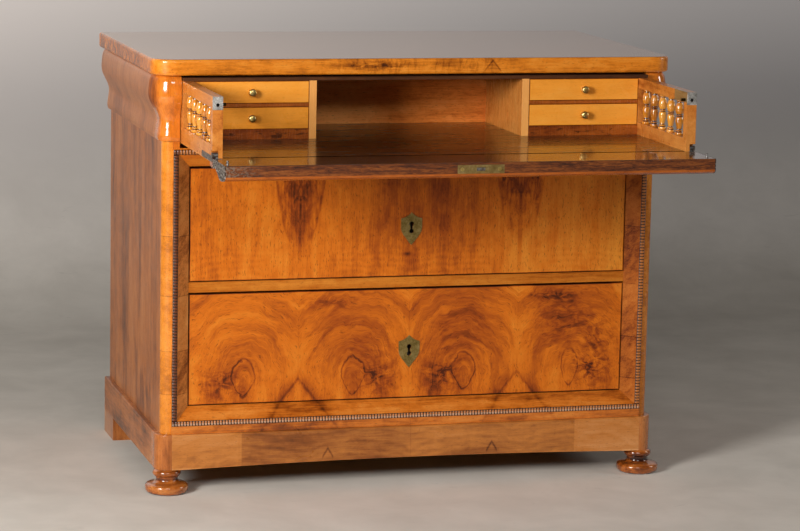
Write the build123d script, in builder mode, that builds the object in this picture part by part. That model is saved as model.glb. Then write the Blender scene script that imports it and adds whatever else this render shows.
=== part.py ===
from build123d import *
import math
import os

# A secretaire chest in its open state: two long drawers below, and above them a
# secretaire drawer pulled out with its fall let down as a writing surface.
# Millimetres. +X to the right, +Y to the back, +Z up, z = 0 on the floor.
# The origin is the middle of the footprint of the open piece.

os.makedirs("parts", exist_ok=True)

# Overall carcass
board_thickness = 35.0
board_overhang = 26.0
board_back_overhang = 13.0
board_top_round = 6.0
board_edge_round = 5.0
carcass_half = 560.5
carcass_depth = 640.0
corner_radius = 22.0
post_setback = 6.0
panel_thickness = 22.0
back_thickness = 12.0

# Plinth and feet
foot_height = 53.0
plinth_height = 78.0
plinth_step = 11.2
plinth_back_step = 7.0
plinth_front_depth = 36.0
plinth_edge_round = 2.0
plinth_arch_rise = 8.0
plinth_arch_land = 24.0
bun_centre_inset = 15.5
bun_centre_depth = 19.0
bun_radius = 47.5
bun_base_radius = 35.0
bun_neck_radius = 24.0
bun_ring_radius = 31.0
bun_widest_share = 0.27
bun_neck_share = 0.60
bun_ring_share = 0.70
rear_foot_length = 115.0
rear_foot_width = 30.0
bracket_thickness = 20.0
bracket_reach = 72.0
bracket_toe = 26.0

# Front frame round the long drawers
frame_depth = 62.0
strip_width = 18.0
ripple_width = 11.5
ripple_proud = 3.2
splay_width = 28.0
splay_depth = 24.0
lower_opening_height = 250.5
upper_opening_height = 253.5
divider_height = 23.0
divider_depth = 60.0
dust_thickness = 12.0
guide_height = 50.0

# Ogee frieze, as reach beyond the panel below it
frieze_height = 142.0
foot_reach = 7.0
lip_reach = 9.0
neck_reach = 5.0
bulge_reach = 23.0
head_reach = 12.0
ogee_height_shares = (0.0, 0.07, 0.30, 0.69, 1.0)
ogee_steps = 4
cushion_front_width = 13.5
cushion_side_return = 30.0

# Running clearances
slide_gap = 0.3
side_gap = 1.4
front_gap = 2.2
hinge_gap = 0.05
seat_gap = 0.4
overrun = 5.0

# Secretaire drawer
writing_rise = 5.0
writing_thickness = 8.5
side_thickness = 21.5
side_front_depth = 18.4
side_back_gap = 33.6
drawer_back_thickness = 12.0
secretaire_travel = 346.0
runner_width = 25.0

# Balustrades in the drawer sides
stile_width = 20.0
baluster_nest_gap = 1.0
baluster_bottom_rail = 35.5
baluster_top_rail = 23.0
baluster_count = 5
baluster_last_share = 0.51
baluster_radius = 9.6

# Nest of small drawers
nest_front = 302.0
partition_inner = 232.0
partition_thickness = 16.0
nest_base_height = 21.5
nest_shelf_thickness = 6.5
nest_rail_thickness = 14.0
nest_divider_height = 7.0
nest_top_thickness = 7.0
nest_top_gap = 4.0
small_back_gap = 10.0
small_front_thickness = 11.0
small_wall = 6.0
small_bottom = 4.0
small_gap = 0.4
knob_radius = 8.5
knob_reach = 16.0
knob_neck_radius = 4.0
knob_rose_radius = 7.0
knob_rose_thickness = 1.6

# Fall and its hinges
fall_gap = 3.0
hinge_rise = 6.0
barrel_radius = 5.6
pin_radius = 2.2
barrel_length = 6.0
strap_length = 100.0
strap_height = 13.0
strap_drop = 13.8
strap_thickness = 2.0
leaf_length = 24.0
leaf_thickness = 2.0
leaf_root = 4.0
leaf_width = 11.0
apron_drop = 13.0
end_plate_thickness = 1.6
swing_gap = 0.8

# Catches
catch_plate_height = 27.0
catch_plate_thickness = 2.0
catch_hole_radius = 3.6
catch_stud_radius = 2.3
catch_stud_reach = 8.0
catch_drop = 17.0
catch_cover_length = 77.0
catch_cover_height = 22.5
catch_cover_thickness = 4.0
button_radius = 3.2
button_reach = 9.0
button_depth = 7.0
button_setback = 14.0
button_travel = 3.0

# Long drawers
long_front_thickness = 22.0
long_side_thickness = 14.0
long_bottom_thickness = 8.0
long_side_drop = 14.0
upper_top_gap = 4.5
lower_top_gap = 4.0
long_back_gap = 28.0

# Locks and escutcheons
escutcheon_width = 48.0
escutcheon_height = 73.0
escutcheon_thickness = 1.6
escutcheon_drop = 19.0
keyhole_radius = 5.2
keyhole_slot = 5.4
keyhole_length = 15.6
keyhole_rise = 2.7
lock_width = 70.0
lock_height = 62.0
lock_depth = 12.0
bolt_width = 14.0
bolt_thickness = 5.0
bolt_travel = 9.0
bolt_clearance = 0.4
fall_plate_width = 100.0
fall_plate_height = 18.0
fall_plate_thickness = 2.0
fall_plate_shift = 11.0
fall_plate_inset = 5.0
fall_lock_depth = 48.0
fall_bolt_width = 18.0
fall_bolt_thickness = 6.0
screw_radius = 2.2
screw_head_radius = 4.2
screw_length = 18.0
screw_pitch = 80.0
screw_gap = 0.05

# Heights worked out from the sizes above, from the floor up
plinth_top = foot_height + plinth_height
ripple_bottom = plinth_top + strip_width
opening_bottom = ripple_bottom + ripple_width + splay_width
divider_bottom = opening_bottom + lower_opening_height
divider_top = divider_bottom + divider_height
opening_top = divider_top + upper_opening_height
ripple_top = opening_top + splay_width + ripple_width
frieze_bottom = ripple_top + strip_width
board_bottom = frieze_bottom + frieze_height
total_height = board_bottom + board_thickness
writing_level = frieze_bottom + writing_rise
secretaire_bottom = writing_level - writing_thickness
side_top = board_bottom - nest_top_gap - nest_top_thickness
fall_top = board_bottom - fall_gap

# Widths
ripple_half = carcass_half - corner_radius
opening_half = ripple_half - ripple_width - splay_width
secretaire_opening_half = ripple_half - cushion_front_width
secretaire_half = secretaire_opening_half - side_gap
secretaire_inner = secretaire_half - side_thickness
gable_inner = carcass_half - panel_thickness

# The hinge axis of the fall, measured back from the flat frame with the drawer closed
fall_inner = side_front_depth - seat_gap
pivot_depth = fall_inner + hinge_rise
pivot_z = writing_level + hinge_rise

# Depths: y of the flat front frame, so that the open piece is centred on y = 0
back_reach = post_setback + carcass_depth + board_back_overhang
open_reach = secretaire_travel + (fall_top - pivot_z) - pivot_depth
frame_y = (open_reach - back_reach) / 2
post_y = frame_y + post_setback
corner_y = post_y + corner_radius
back_y = post_y + carcass_depth
back_panel_y = back_y - back_thickness
interior_front = frame_y + frame_depth
splay_y = frame_y + splay_depth
out_y = frame_y - secretaire_travel
pivot_y = out_y + pivot_depth
side_front_y = out_y + side_front_depth
side_back_y = back_panel_y - secretaire_travel - side_back_gap
nest_y = side_front_y + nest_front
nest_back_y = side_back_y - drawer_back_thickness


def slab(x, y, z, mode=Mode.ADD):
    # A box from its limits along each axis
    with Locations(((x[0] + x[1]) / 2, (y[0] + y[1]) / 2, (z[0] + z[1]) / 2)):
        Box(x[1] - x[0], y[1] - y[0], z[1] - z[0], mode=mode)


def elevation(y):
    # A drawing plane that faces the front, with its own x and y along +X and +Z
    return Plane.XZ.offset(-y)


def section(x):
    # A drawing plane across the piece, with its own x and y along +Y and +Z
    return Plane.YZ.offset(x)


def fall_section(x):
    # The section of the open fall: its own x and y are +Y and +Z of the closed fall,
    # measured from the hinge axis
    return Plane(origin=(x, pivot_y, pivot_z), x_dir=(0, 0, 1), z_dir=(1, 0, 0))


def save(part, name):
    part.label = name
    export_step(part, f"parts/{name}.step")


def save_group(solids, name):
    # Several separate solids of one kind share a node
    save(Compound(children=solids), name)


def mirrored(part):
    # The same piece on the left-hand side
    with BuildPart() as other:
        mirror(part, about=Plane.YZ)
    return other.part


def ogee_points():
    # Reach and height of the moulded face, eased from one turning point to the next
    reaches = (foot_reach, lip_reach, neck_reach, bulge_reach, head_reach)
    last = len(reaches) - 2
    points = [(foot_reach, frieze_bottom)]
    for span in range(last + 1):
        for step in range(1, ogee_steps + 1):
            t = step / ogee_steps
            if span == 0:
                eased = math.sin(t * math.pi / 2)
            elif span == 1:
                eased = t
            elif span == last:
                eased = 1 - math.sqrt(1 - t**2)
            else:
                eased = (1 - math.cos(t * math.pi)) / 2
            reach = reaches[span] + (reaches[span + 1] - reaches[span]) * eased
            rise = ogee_height_shares[span + 1] - ogee_height_shares[span]
            share = ogee_height_shares[span] + rise * t
            points.append((reach, frieze_bottom + frieze_height * share))
    return points


def ogee_face(place):
    # The closed outline of the frieze; place turns a reach and a height into drawing points
    with BuildLine() as outline:
        Spline(*[place(reach, z) for reach, z in ogee_points()])
        Polyline(
            place(head_reach, board_bottom),
            place(-corner_radius, board_bottom),
            place(-corner_radius, frieze_bottom),
            place(foot_reach, frieze_bottom),
        )
    make_face(outline.edges())


def keyhole(x, y):
    # The outline of a keyhole: a narrow slot between two round eyes
    with Locations((x, y)):
        Rectangle(keyhole_slot, keyhole_length)
    for sign in (-1, 1):
        with Locations((x, y + sign * keyhole_length / 2)):
            Circle(keyhole_radius)


# Carcass: top board
board_front_y = post_y - board_overhang
board_half = carcass_half + board_overhang
board_back_y = back_y + board_back_overhang
with BuildPart() as top_board:
    slab((-board_half, board_half), (board_front_y, board_back_y), (board_bottom, total_height))
    fillet(top_board.edges().filter_by(Axis.Z).group_by(Axis.Y)[0], corner_radius + board_overhang)
    fillet(top_board.faces().sort_by(Axis.Z)[0].edges(), board_edge_round)
    fillet(top_board.faces().sort_by(Axis.Z)[-1].edges(), board_top_round)
    strike_y = frame_y + fall_inner - fall_plate_inset - fall_plate_height / 2
    slab(
        (fall_plate_shift - fall_bolt_width, fall_plate_shift + fall_bolt_width),
        (strike_y - fall_bolt_thickness, strike_y + fall_bolt_thickness),
        (board_bottom - overrun, board_bottom + bolt_travel + overrun / 2),
        Mode.SUBTRACT,
    )
save(top_board.part, "top_board")

# Carcass: side panels
with BuildPart() as side_panel_right:
    slab((gable_inner, carcass_half), (corner_y, back_y), (foot_height, board_bottom))
save(side_panel_right.part, "side_panel_right")
save(mirrored(side_panel_right.part), "side_panel_left")

# Carcass: rounded corner posts
with BuildPart() as corner_post:
    with BuildSketch(Plane.XY.offset(plinth_top)):
        with BuildLine():
            CenterArc((ripple_half, corner_y), corner_radius, -90, 90)
            Polyline(
                (carcass_half, corner_y),
                (ripple_half, corner_y),
                (ripple_half, post_y),
            )
        make_face()
    extrude(amount=frieze_bottom - plinth_top)
save_group([corner_post.part, mirrored(corner_post.part)], "corner_posts")

# Carcass: moulded frieze along each side
frieze_front_y = corner_y + cushion_side_return
with BuildPart() as side_frieze:
    with BuildSketch(elevation(frieze_front_y)):
        ogee_face(lambda reach, z: (carcass_half + reach, z))
        with Locations(((gable_inner + carcass_half) / 2, (frieze_bottom + board_bottom) / 2)):
            Rectangle(panel_thickness, frieze_height, mode=Mode.SUBTRACT)
    extrude(amount=frieze_front_y - back_y)
save_group([side_frieze.part, mirrored(side_frieze.part)], "side_friezes")

# Carcass: turned corner cushions, from the fall's end round to the side frieze
with BuildPart() as corner_cushion_right:
    with BuildSketch(elevation(corner_y)):
        ogee_face(lambda reach, z: (carcass_half + reach, z))
    revolve(axis=Axis((ripple_half, corner_y, 0), (0, 0, -1)), revolution_arc=90)
    with BuildSketch(section(secretaire_opening_half)):
        ogee_face(lambda reach, z: (post_y - reach, z))
    extrude(amount=cushion_front_width)
    with BuildSketch(elevation(corner_y)):
        ogee_face(lambda reach, z: (carcass_half + reach, z))
        with Locations(((gable_inner + carcass_half) / 2, (frieze_bottom + board_bottom) / 2)):
            Rectangle(panel_thickness, frieze_height, mode=Mode.SUBTRACT)
    extrude(amount=-cushion_side_return)
save(corner_cushion_right.part, "corner_cushion_right")
save(mirrored(corner_cushion_right.part), "corner_cushion_left")

# Plinth: front board with a shallow arch along its lower edge
plinth_front_y = post_y - plinth_step
arch_half = ripple_half - plinth_arch_land
with BuildPart() as plinth_front:
    slab(
        (-ripple_half, ripple_half),
        (plinth_front_y, plinth_front_y + plinth_front_depth),
        (foot_height, plinth_top),
    )
    with BuildSketch(elevation(plinth_front_y)):
        with BuildLine():
            ThreePointArc(
                (-arch_half, foot_height),
                (0, foot_height + plinth_arch_rise),
                (arch_half, foot_height),
            )
            Line((-arch_half, foot_height), (arch_half, foot_height))
        make_face()
    extrude(amount=-plinth_front_depth, mode=Mode.SUBTRACT)
    fillet(
        plinth_front.edges().filter_by(Axis.X).group_by(Axis.Z)[-1].sort_by(Axis.Y)[0],
        plinth_edge_round,
    )
save(plinth_front.part, "plinth_front")

# Plinth: rounded corner blocks
plinth_half = carcass_half + plinth_step
with BuildPart() as plinth_corner:
    with BuildSketch(Plane.XY.offset(foot_height)):
        with BuildLine():
            CenterArc((ripple_half, corner_y), corner_radius + plinth_step, -90, 90)
            Polyline(
                (plinth_half, corner_y),
                (plinth_half, frieze_front_y),
                (carcass_half, frieze_front_y),
                (carcass_half, corner_y),
                (ripple_half, corner_y),
                (ripple_half, plinth_front_y),
            )
        make_face()
    extrude(amount=plinth_height)
    fillet(
        plinth_corner.edges().filter_by(GeomType.CIRCLE).group_by(Axis.Z)[-1],
        plinth_edge_round,
    )
save_group([plinth_corner.part, mirrored(plinth_corner.part)], "plinth_corners")

# Plinth: side boards and back board
plinth_back_y = back_y + plinth_back_step
with BuildPart() as plinth_side:
    slab((carcass_half, plinth_half), (frieze_front_y, plinth_back_y), (foot_height, plinth_top))
    fillet(
        plinth_side.edges().filter_by(Axis.Y).group_by(Axis.Z)[-1].sort_by(Axis.X)[-1],
        plinth_edge_round,
    )
with BuildPart() as plinth_back:
    slab((-gable_inner, gable_inner), (back_panel_y, back_y), (foot_height, plinth_top))
save_group([plinth_side.part, mirrored(plinth_side.part), plinth_back.part], "plinth_boards")

# Feet: turned buns at the front
bun_x = carcass_half - bun_centre_inset
bun_y = frame_y + bun_centre_depth
bun_widest = (bun_x + bun_radius, foot_height * bun_widest_share)
bun_neck = (bun_x + bun_neck_radius, foot_height * bun_neck_share)
bun_ring_z = foot_height * bun_ring_share
with BuildPart() as bun_foot:
    with BuildSketch(elevation(bun_y)):
        with BuildLine():
            Line((bun_x, 0), (bun_x + bun_base_radius, 0))
            Spline((bun_x + bun_base_radius, 0), bun_widest, tangents=[(1, 0), (0, 1)])
            Spline(bun_widest, bun_neck, tangents=[(0, 1), (0, 1)])
            Line(bun_neck, (bun_neck[0], bun_ring_z))
            ThreePointArc(
                (bun_neck[0], bun_ring_z),
                (bun_x + bun_ring_radius, (bun_ring_z + foot_height) / 2),
                (bun_neck[0], foot_height),
            )
            Polyline((bun_neck[0], foot_height), (bun_x, foot_height), (bun_x, 0))
        make_face()
    revolve(axis=Axis((bun_x, bun_y, 0), (0, 0, 1)))
save_group([bun_foot.part, mirrored(bun_foot.part)], "bun_feet")

# Feet: block and curved bracket at the back
block_inner = plinth_half - rear_foot_width
block_front_y = plinth_back_y - rear_foot_length
with BuildPart() as rear_block:
    slab((block_inner, plinth_half), (block_front_y, plinth_back_y), (0, foot_height))
with BuildPart() as rear_bracket:
    with BuildSketch(elevation(block_front_y)):
        with BuildLine():
            Polyline(
                (block_inner - bracket_toe, 0),
                (block_inner, 0),
                (block_inner, foot_height),
                (block_inner - bracket_reach, foot_height),
            )
            ThreePointArc(
                (block_inner - bracket_reach, foot_height),
                (block_inner - (bracket_reach + bracket_toe) * 0.42, foot_height * 0.66),
                (block_inner - bracket_toe, 0),
            )
        make_face()
    extrude(amount=-bracket_thickness)
rear_pieces = [rear_block.part, rear_bracket.part]
save_group(rear_pieces + [mirrored(piece) for piece in rear_pieces], "rear_feet")

# Front frame: top rail, rebated and hollowed for the swing of the fall
ripple_inner = ripple_half - ripple_width
swing_radius = math.hypot(pivot_depth, pivot_z - (frieze_bottom - apron_drop)) + swing_gap
rail_top = pivot_z - math.sqrt(swing_radius**2 - pivot_depth**2) - swing_gap
closed_pivot_y = frame_y + pivot_depth
bolt_y = splay_y + long_front_thickness + lock_depth / 2
bolt_slot = (bolt_y - bolt_thickness, bolt_y + bolt_thickness)
with BuildPart() as frame_top_rail:
    with BuildSketch(elevation(frame_y)):
        with BuildLine():
            Polyline(
                (-opening_half, opening_top),
                (opening_half, opening_top),
                (ripple_half, ripple_top),
                (ripple_half, frieze_bottom),
                (secretaire_opening_half, frieze_bottom),
                (secretaire_opening_half, rail_top),
                (-secretaire_opening_half, rail_top),
                (-secretaire_opening_half, frieze_bottom),
                (-ripple_half, frieze_bottom),
                (-ripple_half, ripple_top),
                (-opening_half, opening_top),
            )
        make_face()
    extrude(amount=-frame_depth)
    with BuildSketch(section(-ripple_half)):
        with BuildLine():
            Polyline(
                (frame_y, opening_top + splay_width),
                (frame_y, opening_top),
                (splay_y, opening_top),
                (frame_y, opening_top + splay_width),
            )
        make_face()
    extrude(amount=2 * ripple_half, mode=Mode.SUBTRACT)
    with BuildSketch(section(-secretaire_opening_half)):
        with Locations((closed_pivot_y, pivot_z)):
            Circle(swing_radius)
    extrude(amount=2 * secretaire_opening_half, mode=Mode.SUBTRACT)
    slab((-bolt_width, bolt_width), bolt_slot, (opening_top, opening_top + bolt_travel), Mode.SUBTRACT)
save(frame_top_rail.part, "frame_top_rail")

# Front frame: bottom rail and stiles, mitred with the splay
with BuildPart() as frame_bottom_rail:
    with BuildSketch(elevation(frame_y)):
        with BuildLine():
            Polyline(
                (-opening_half, opening_bottom),
                (opening_half, opening_bottom),
                (ripple_half, ripple_bottom),
                (ripple_half, plinth_top),
                (-ripple_half, plinth_top),
                (-ripple_half, ripple_bottom),
                (-opening_half, opening_bottom),
            )
        make_face()
    extrude(amount=-frame_depth)
    with BuildSketch(section(-ripple_half)):
        with BuildLine():
            Polyline(
                (frame_y, opening_bottom - splay_width),
                (frame_y, opening_bottom),
                (splay_y, opening_bottom),
                (frame_y, opening_bottom - splay_width),
            )
        make_face()
    extrude(amount=2 * ripple_half, mode=Mode.SUBTRACT)
save(frame_bottom_rail.part, "frame_bottom_rail")

with BuildPart() as frame_stile_right:
    with BuildSketch(elevation(frame_y)):
        with BuildLine():
            Polyline(
                (opening_half, opening_bottom),
                (ripple_half, ripple_bottom),
                (ripple_half, ripple_top),
                (opening_half, opening_top),
                (opening_half, opening_bottom),
            )
        make_face()
    extrude(amount=-frame_depth)
    with BuildSketch(Plane.XY.offset(ripple_bottom)):
        with BuildLine():
            Polyline(
                (opening_half + splay_width, frame_y),
                (opening_half, frame_y),
                (opening_half, splay_y),
                (opening_half + splay_width, frame_y),
            )
        make_face()
    extrude(amount=ripple_top - ripple_bottom, mode=Mode.SUBTRACT)
save(frame_stile_right.part, "frame_stile_right")
save(mirrored(frame_stile_right.part), "frame_stile_left")

# Ripple moulding planted on the frame: two long strips with two upright strips between
def ripple_section(inner, outer):
    # The rounded section of a strip, drawn across its width
    with BuildLine() as outline:
        ThreePointArc(
            (inner, frame_y),
            ((inner + outer) / 2, frame_y - ripple_proud),
            (outer, frame_y),
        )
        Line((outer, frame_y), (inner, frame_y))
    make_face(outline.edges())


ripple_strips = []
with BuildPart() as ripple_upright:
    with BuildSketch(Plane.XY.offset(ripple_bottom + ripple_width)):
        ripple_section(ripple_inner, ripple_half)
    extrude(amount=ripple_top - ripple_bottom - 2 * ripple_width)
ripple_strips += [ripple_upright.part, mirrored(ripple_upright.part)]
for low in (ripple_bottom, ripple_top - ripple_width):
    with BuildPart() as ripple_level:
        with BuildSketch(section(-ripple_half)):
            with BuildLine():
                ThreePointArc(
                    (frame_y, low),
                    (frame_y - ripple_proud, low + ripple_width / 2),
                    (frame_y, low + ripple_width),
                )
                Line((frame_y, low + ripple_width), (frame_y, low))
            make_face()
        extrude(amount=2 * ripple_half)
    ripple_strips.append(ripple_level.part)
save_group(ripple_strips, "ripple_moulding")

# Carcass: divider rail, dust boards, guides and back panel
with BuildPart() as divider_rail:
    slab((-opening_half, opening_half), (splay_y, splay_y + divider_depth), (divider_bottom, divider_top))
    slab((-bolt_width, bolt_width), bolt_slot, (divider_bottom, divider_bottom + bolt_travel), Mode.SUBTRACT)
save(divider_rail.part, "divider_rail")

dust_boards = []
for front_y, low in (
    (interior_front, opening_bottom - dust_thickness),
    (splay_y + divider_depth, divider_top - dust_thickness),
    (interior_front, opening_top),
):
    with BuildPart() as dust_board:
        slab((-gable_inner, gable_inner), (front_y, back_panel_y), (low, low + dust_thickness))
    dust_boards.append(dust_board.part)
save_group(dust_boards, "dust_boards")

drawer_guides = []
for low in (opening_bottom, divider_top):
    with BuildPart() as drawer_guide:
        slab((opening_half, gable_inner), (interior_front, back_panel_y), (low, low + guide_height))
    drawer_guides += [drawer_guide.part, mirrored(drawer_guide.part)]
save_group(drawer_guides, "drawer_guides")

with BuildPart() as back_panel:
    slab((-gable_inner, gable_inner), (back_panel_y, back_y), (plinth_top, board_bottom))
save(back_panel.part, "back_panel")

# Carcass: guides that the secretaire drawer runs on and between
dust_top = opening_top + dust_thickness
runner_top = secretaire_bottom - slide_gap
with BuildPart() as secretaire_runner:
    slab(
        (secretaire_opening_half - runner_width, gable_inner),
        (interior_front, back_panel_y),
        (dust_top, runner_top),
    )
with BuildPart() as secretaire_liner:
    slab((secretaire_opening_half, gable_inner), (interior_front, back_panel_y), (runner_top, fall_top))
    slab((secretaire_opening_half, gable_inner), (corner_y, interior_front), (frieze_bottom, fall_top))
guide_pieces = [secretaire_runner.part, secretaire_liner.part]
save_group(guide_pieces + [mirrored(piece) for piece in guide_pieces], "secretaire_guides")

# Secretaire drawer: writing board, its front lower edge eased for the swing of the fall
relief_length = hinge_rise + seat_gap
relief_height = writing_thickness * 0.2


def ease_front(x):
    # Takes the lower front corner off a piece that the fall swings under
    with BuildSketch(section(x[0])) as corner:
        with BuildLine() as outline:
            Polyline(
                (side_front_y, secretaire_bottom),
                (side_front_y + relief_length, secretaire_bottom),
                (side_front_y, secretaire_bottom + relief_height),
                (side_front_y, secretaire_bottom),
            )
        make_face(outline.edges())
    extrude(to_extrude=corner.sketch, amount=x[1] - x[0], mode=Mode.SUBTRACT)


with BuildPart() as writing_board:
    slab(
        (-secretaire_inner, secretaire_inner),
        (side_front_y, nest_back_y),
        (secretaire_bottom, writing_level),
    )
    ease_front((-secretaire_inner, secretaire_inner))
save(writing_board.part, "writing_board")

# Secretaire drawer: sides, pierced for the balustrades
opening_y = side_front_y + stile_width
opening_z = secretaire_bottom + baluster_bottom_rail
baluster_height = side_top - baluster_top_rail - opening_z
baluster_back_y = nest_y - baluster_nest_gap
baluster_pitch = (baluster_back_y - opening_y) / (baluster_count + baluster_last_share)
side_middle = (secretaire_inner + secretaire_half) / 2
catch_z = side_top - catch_drop
button_y = side_front_y + button_setback
notch_radius = math.hypot(hinge_rise + leaf_thickness, hinge_rise) + swing_gap
notch_inner = secretaire_half - 2 * (barrel_length + slide_gap)
strap_z = pivot_z - strap_drop
catch_cover_y = (side_front_y + catch_plate_thickness, side_front_y + catch_cover_length)
catch_cover_z = (side_top - catch_cover_height, side_top)
with BuildPart() as secretaire_side_right:
    slab((secretaire_inner, secretaire_half), (side_front_y, side_back_y), (secretaire_bottom, side_top))
    ease_front((secretaire_inner, secretaire_half))
    slab(
        (secretaire_inner, secretaire_half),
        (opening_y, baluster_back_y),
        (opening_z, opening_z + baluster_height),
        Mode.SUBTRACT,
    )
    with BuildSketch(section(notch_inner)):
        with Locations((pivot_y, pivot_z)):
            Circle(notch_radius)
    extrude(amount=secretaire_half - notch_inner, mode=Mode.SUBTRACT)
    slab(
        (secretaire_half - strap_thickness, secretaire_half),
        (side_front_y, pivot_y + strap_length),
        (strap_z, strap_z + strap_height),
        Mode.SUBTRACT,
    )
    slab(
        (secretaire_inner, secretaire_half),
        (side_front_y, side_front_y + catch_plate_thickness),
        (side_top - catch_plate_height, side_top),
        Mode.SUBTRACT,
    )
    slab(
        (secretaire_inner, secretaire_inner + catch_cover_thickness),
        catch_cover_y,
        catch_cover_z,
        Mode.SUBTRACT,
    )
    with BuildSketch(elevation(side_front_y)):
        with Locations((side_middle, catch_z)):
            Circle(catch_hole_radius)
    extrude(amount=-(catch_stud_reach + catch_plate_thickness), mode=Mode.SUBTRACT)
    with BuildSketch(section(secretaire_inner)):
        with Locations((button_y, catch_z)):
            Circle(button_radius + slide_gap)
    extrude(amount=button_depth + button_travel + slide_gap, mode=Mode.SUBTRACT)
save(secretaire_side_right.part, "secretaire_side_right")
save(mirrored(secretaire_side_right.part), "secretaire_side_left")

# Secretaire drawer: turned balusters, radius and height as shares
baluster_outline_shares = (
    (0.92, 0.00),
    (0.97, 0.035),
    (0.90, 0.07),
    (0.68, 0.09),
    (0.82, 0.12),
    (0.58, 0.155),
    (0.64, 0.22),
    (0.84, 0.33),
    (0.90, 0.41),
    (0.82, 0.48),
    (0.66, 0.525),
    (0.92, 0.55),
    (0.66, 0.575),
    (0.88, 0.63),
    (1.00, 0.72),
    (0.90, 0.82),
    (0.60, 0.93),
    (0.72, 0.965),
    (0.62, 1.00),
)


def baluster(x, y):
    with BuildPart() as turned:
        with BuildSketch(elevation(y)) as half:
            with BuildLine() as outline:
                Polyline(
                    (x, opening_z),
                    *[
                        (x + baluster_radius * r, opening_z + baluster_height * h)
                        for r, h in baluster_outline_shares
                    ],
                    (x, opening_z + baluster_height),
                    (x, opening_z),
                )
            make_face(outline.edges())
        revolve(half.sketch, axis=Axis((x, y, 0), (0, 0, 1)))
    return turned.part


for name, sign in (("left", -1), ("right", 1)):
    row = [
        baluster(sign * side_middle, opening_y + baluster_pitch * (count + 1))
        for count in range(baluster_count)
    ]
    save_group(row, f"balusters_{name}")

# Secretaire drawer: back board
with BuildPart() as secretaire_back:
    slab(
        (-secretaire_inner, secretaire_inner),
        (nest_back_y, side_back_y),
        (secretaire_bottom, side_top),
    )
save(secretaire_back.part, "secretaire_back")

# Nest: partitions, shelves and front rails for the four small drawers
partition_outer = partition_inner + partition_thickness
nest_base = writing_level + nest_base_height
nest_divider_z = (nest_base + side_top - nest_divider_height) / 2
nest_upper_base = nest_divider_z + nest_divider_height
with BuildPart() as nest_partition:
    slab((partition_inner, partition_outer), (nest_y, nest_back_y), (writing_level, side_top))
with BuildPart() as nest_base_rail:
    slab(
        (partition_outer, secretaire_inner),
        (nest_y, nest_y + nest_rail_thickness),
        (writing_level, nest_base),
    )
with BuildPart() as nest_shelf:
    slab(
        (partition_outer, secretaire_inner),
        (nest_y + nest_rail_thickness, nest_back_y),
        (nest_base - nest_shelf_thickness, nest_base),
    )
with BuildPart() as nest_divider:
    slab((partition_outer, secretaire_inner), (nest_y, nest_back_y), (nest_divider_z, nest_upper_base))
nest_pieces = [nest_partition.part, nest_base_rail.part, nest_shelf.part, nest_divider.part]
save_group(nest_pieces + [mirrored(piece) for piece in nest_pieces], "nest_frame")

with BuildPart() as nest_top:
    slab(
        (-secretaire_half, secretaire_half),
        (nest_y, side_back_y),
        (side_top, side_top + nest_top_thickness),
    )
save(nest_top.part, "nest_top")

# Hinges: straps let into the drawer sides, each with a fixed barrel and its pin
with BuildPart() as hinge_strap:
    slab(
        (secretaire_half - strap_thickness, secretaire_half),
        (pivot_y, pivot_y + strap_length),
        (strap_z, strap_z + strap_height),
    )
    with BuildSketch(section(secretaire_half - barrel_length)):
        with Locations((pivot_y, pivot_z)):
            Circle(barrel_radius)
    extrude(amount=barrel_length)
    with BuildSketch(section(notch_inner + slide_gap)):
        with Locations((pivot_y, pivot_z)):
            Circle(pin_radius)
    extrude(amount=secretaire_half - notch_inner - slide_gap)
save_group([hinge_strap.part, mirrored(hinge_strap.part)], "hinge_straps")

# Catches: plates on the ends of the sides, covers over the springs, and push buttons
with BuildPart() as catch_plate:
    slab(
        (secretaire_inner, secretaire_half),
        (side_front_y, side_front_y + catch_plate_thickness),
        (side_top - catch_plate_height, side_top),
    )
    with BuildSketch(elevation(side_front_y)):
        with Locations((side_middle, catch_z)):
            Circle(catch_hole_radius)
    extrude(amount=-catch_plate_thickness, mode=Mode.SUBTRACT)
save_group([catch_plate.part, mirrored(catch_plate.part)], "catch_plates")

with BuildPart() as catch_cover:
    slab((secretaire_inner, secretaire_inner + catch_cover_thickness), catch_cover_y, catch_cover_z)
    with BuildSketch(section(secretaire_inner)):
        with Locations((button_y, catch_z)):
            Circle(button_radius + slide_gap)
    extrude(amount=catch_cover_thickness, mode=Mode.SUBTRACT)
save_group([catch_cover.part, mirrored(catch_cover.part)], "catch_covers")

with BuildPart() as catch_button_right:
    with BuildSketch(section(secretaire_inner - button_reach)):
        with Locations((button_y, catch_z)):
            Circle(button_radius)
    extrude(amount=button_reach + button_depth)
    fillet(catch_button_right.faces().sort_by(Axis.X)[0].edges(), button_radius / 4)
save(catch_button_right.part, "catch_button_right")
save(mirrored(catch_button_right.part), "catch_button_left")

# Fall: sizes of its section, measured from the hinge axis in the closed state
fall_head = fall_top - pivot_z
lip_u = -(pivot_z - runner_top)
apron_v = frieze_bottom - apron_drop - pivot_z
plate_u = -(hinge_rise + fall_plate_inset + fall_plate_height / 2)
fall_wood_half = secretaire_half - end_plate_thickness


def fall_point(reach, z):
    return (post_setback - reach - pivot_depth, z - pivot_z)


def fall_outline():
    # The moulded face, the flat inner face, the shoulder over the hinge and the apron
    with BuildLine() as outline:
        Spline(*[fall_point(reach, z) for reach, z in ogee_points()])
        Polyline(
            fall_point(head_reach, board_bottom),
            (-hinge_rise, board_bottom - pivot_z),
            (-hinge_rise, hinge_rise),
            (lip_u, hinge_rise),
            (lip_u, apron_v),
            (-pivot_depth, apron_v),
            (-pivot_depth, frieze_bottom - pivot_z),
            fall_point(foot_reach, frieze_bottom),
        )
    make_face(outline.edges())
    with Locations((-pivot_depth, fall_head + fall_gap)):
        Rectangle(2 * frieze_height, 2 * fall_gap, mode=Mode.SUBTRACT)


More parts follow.
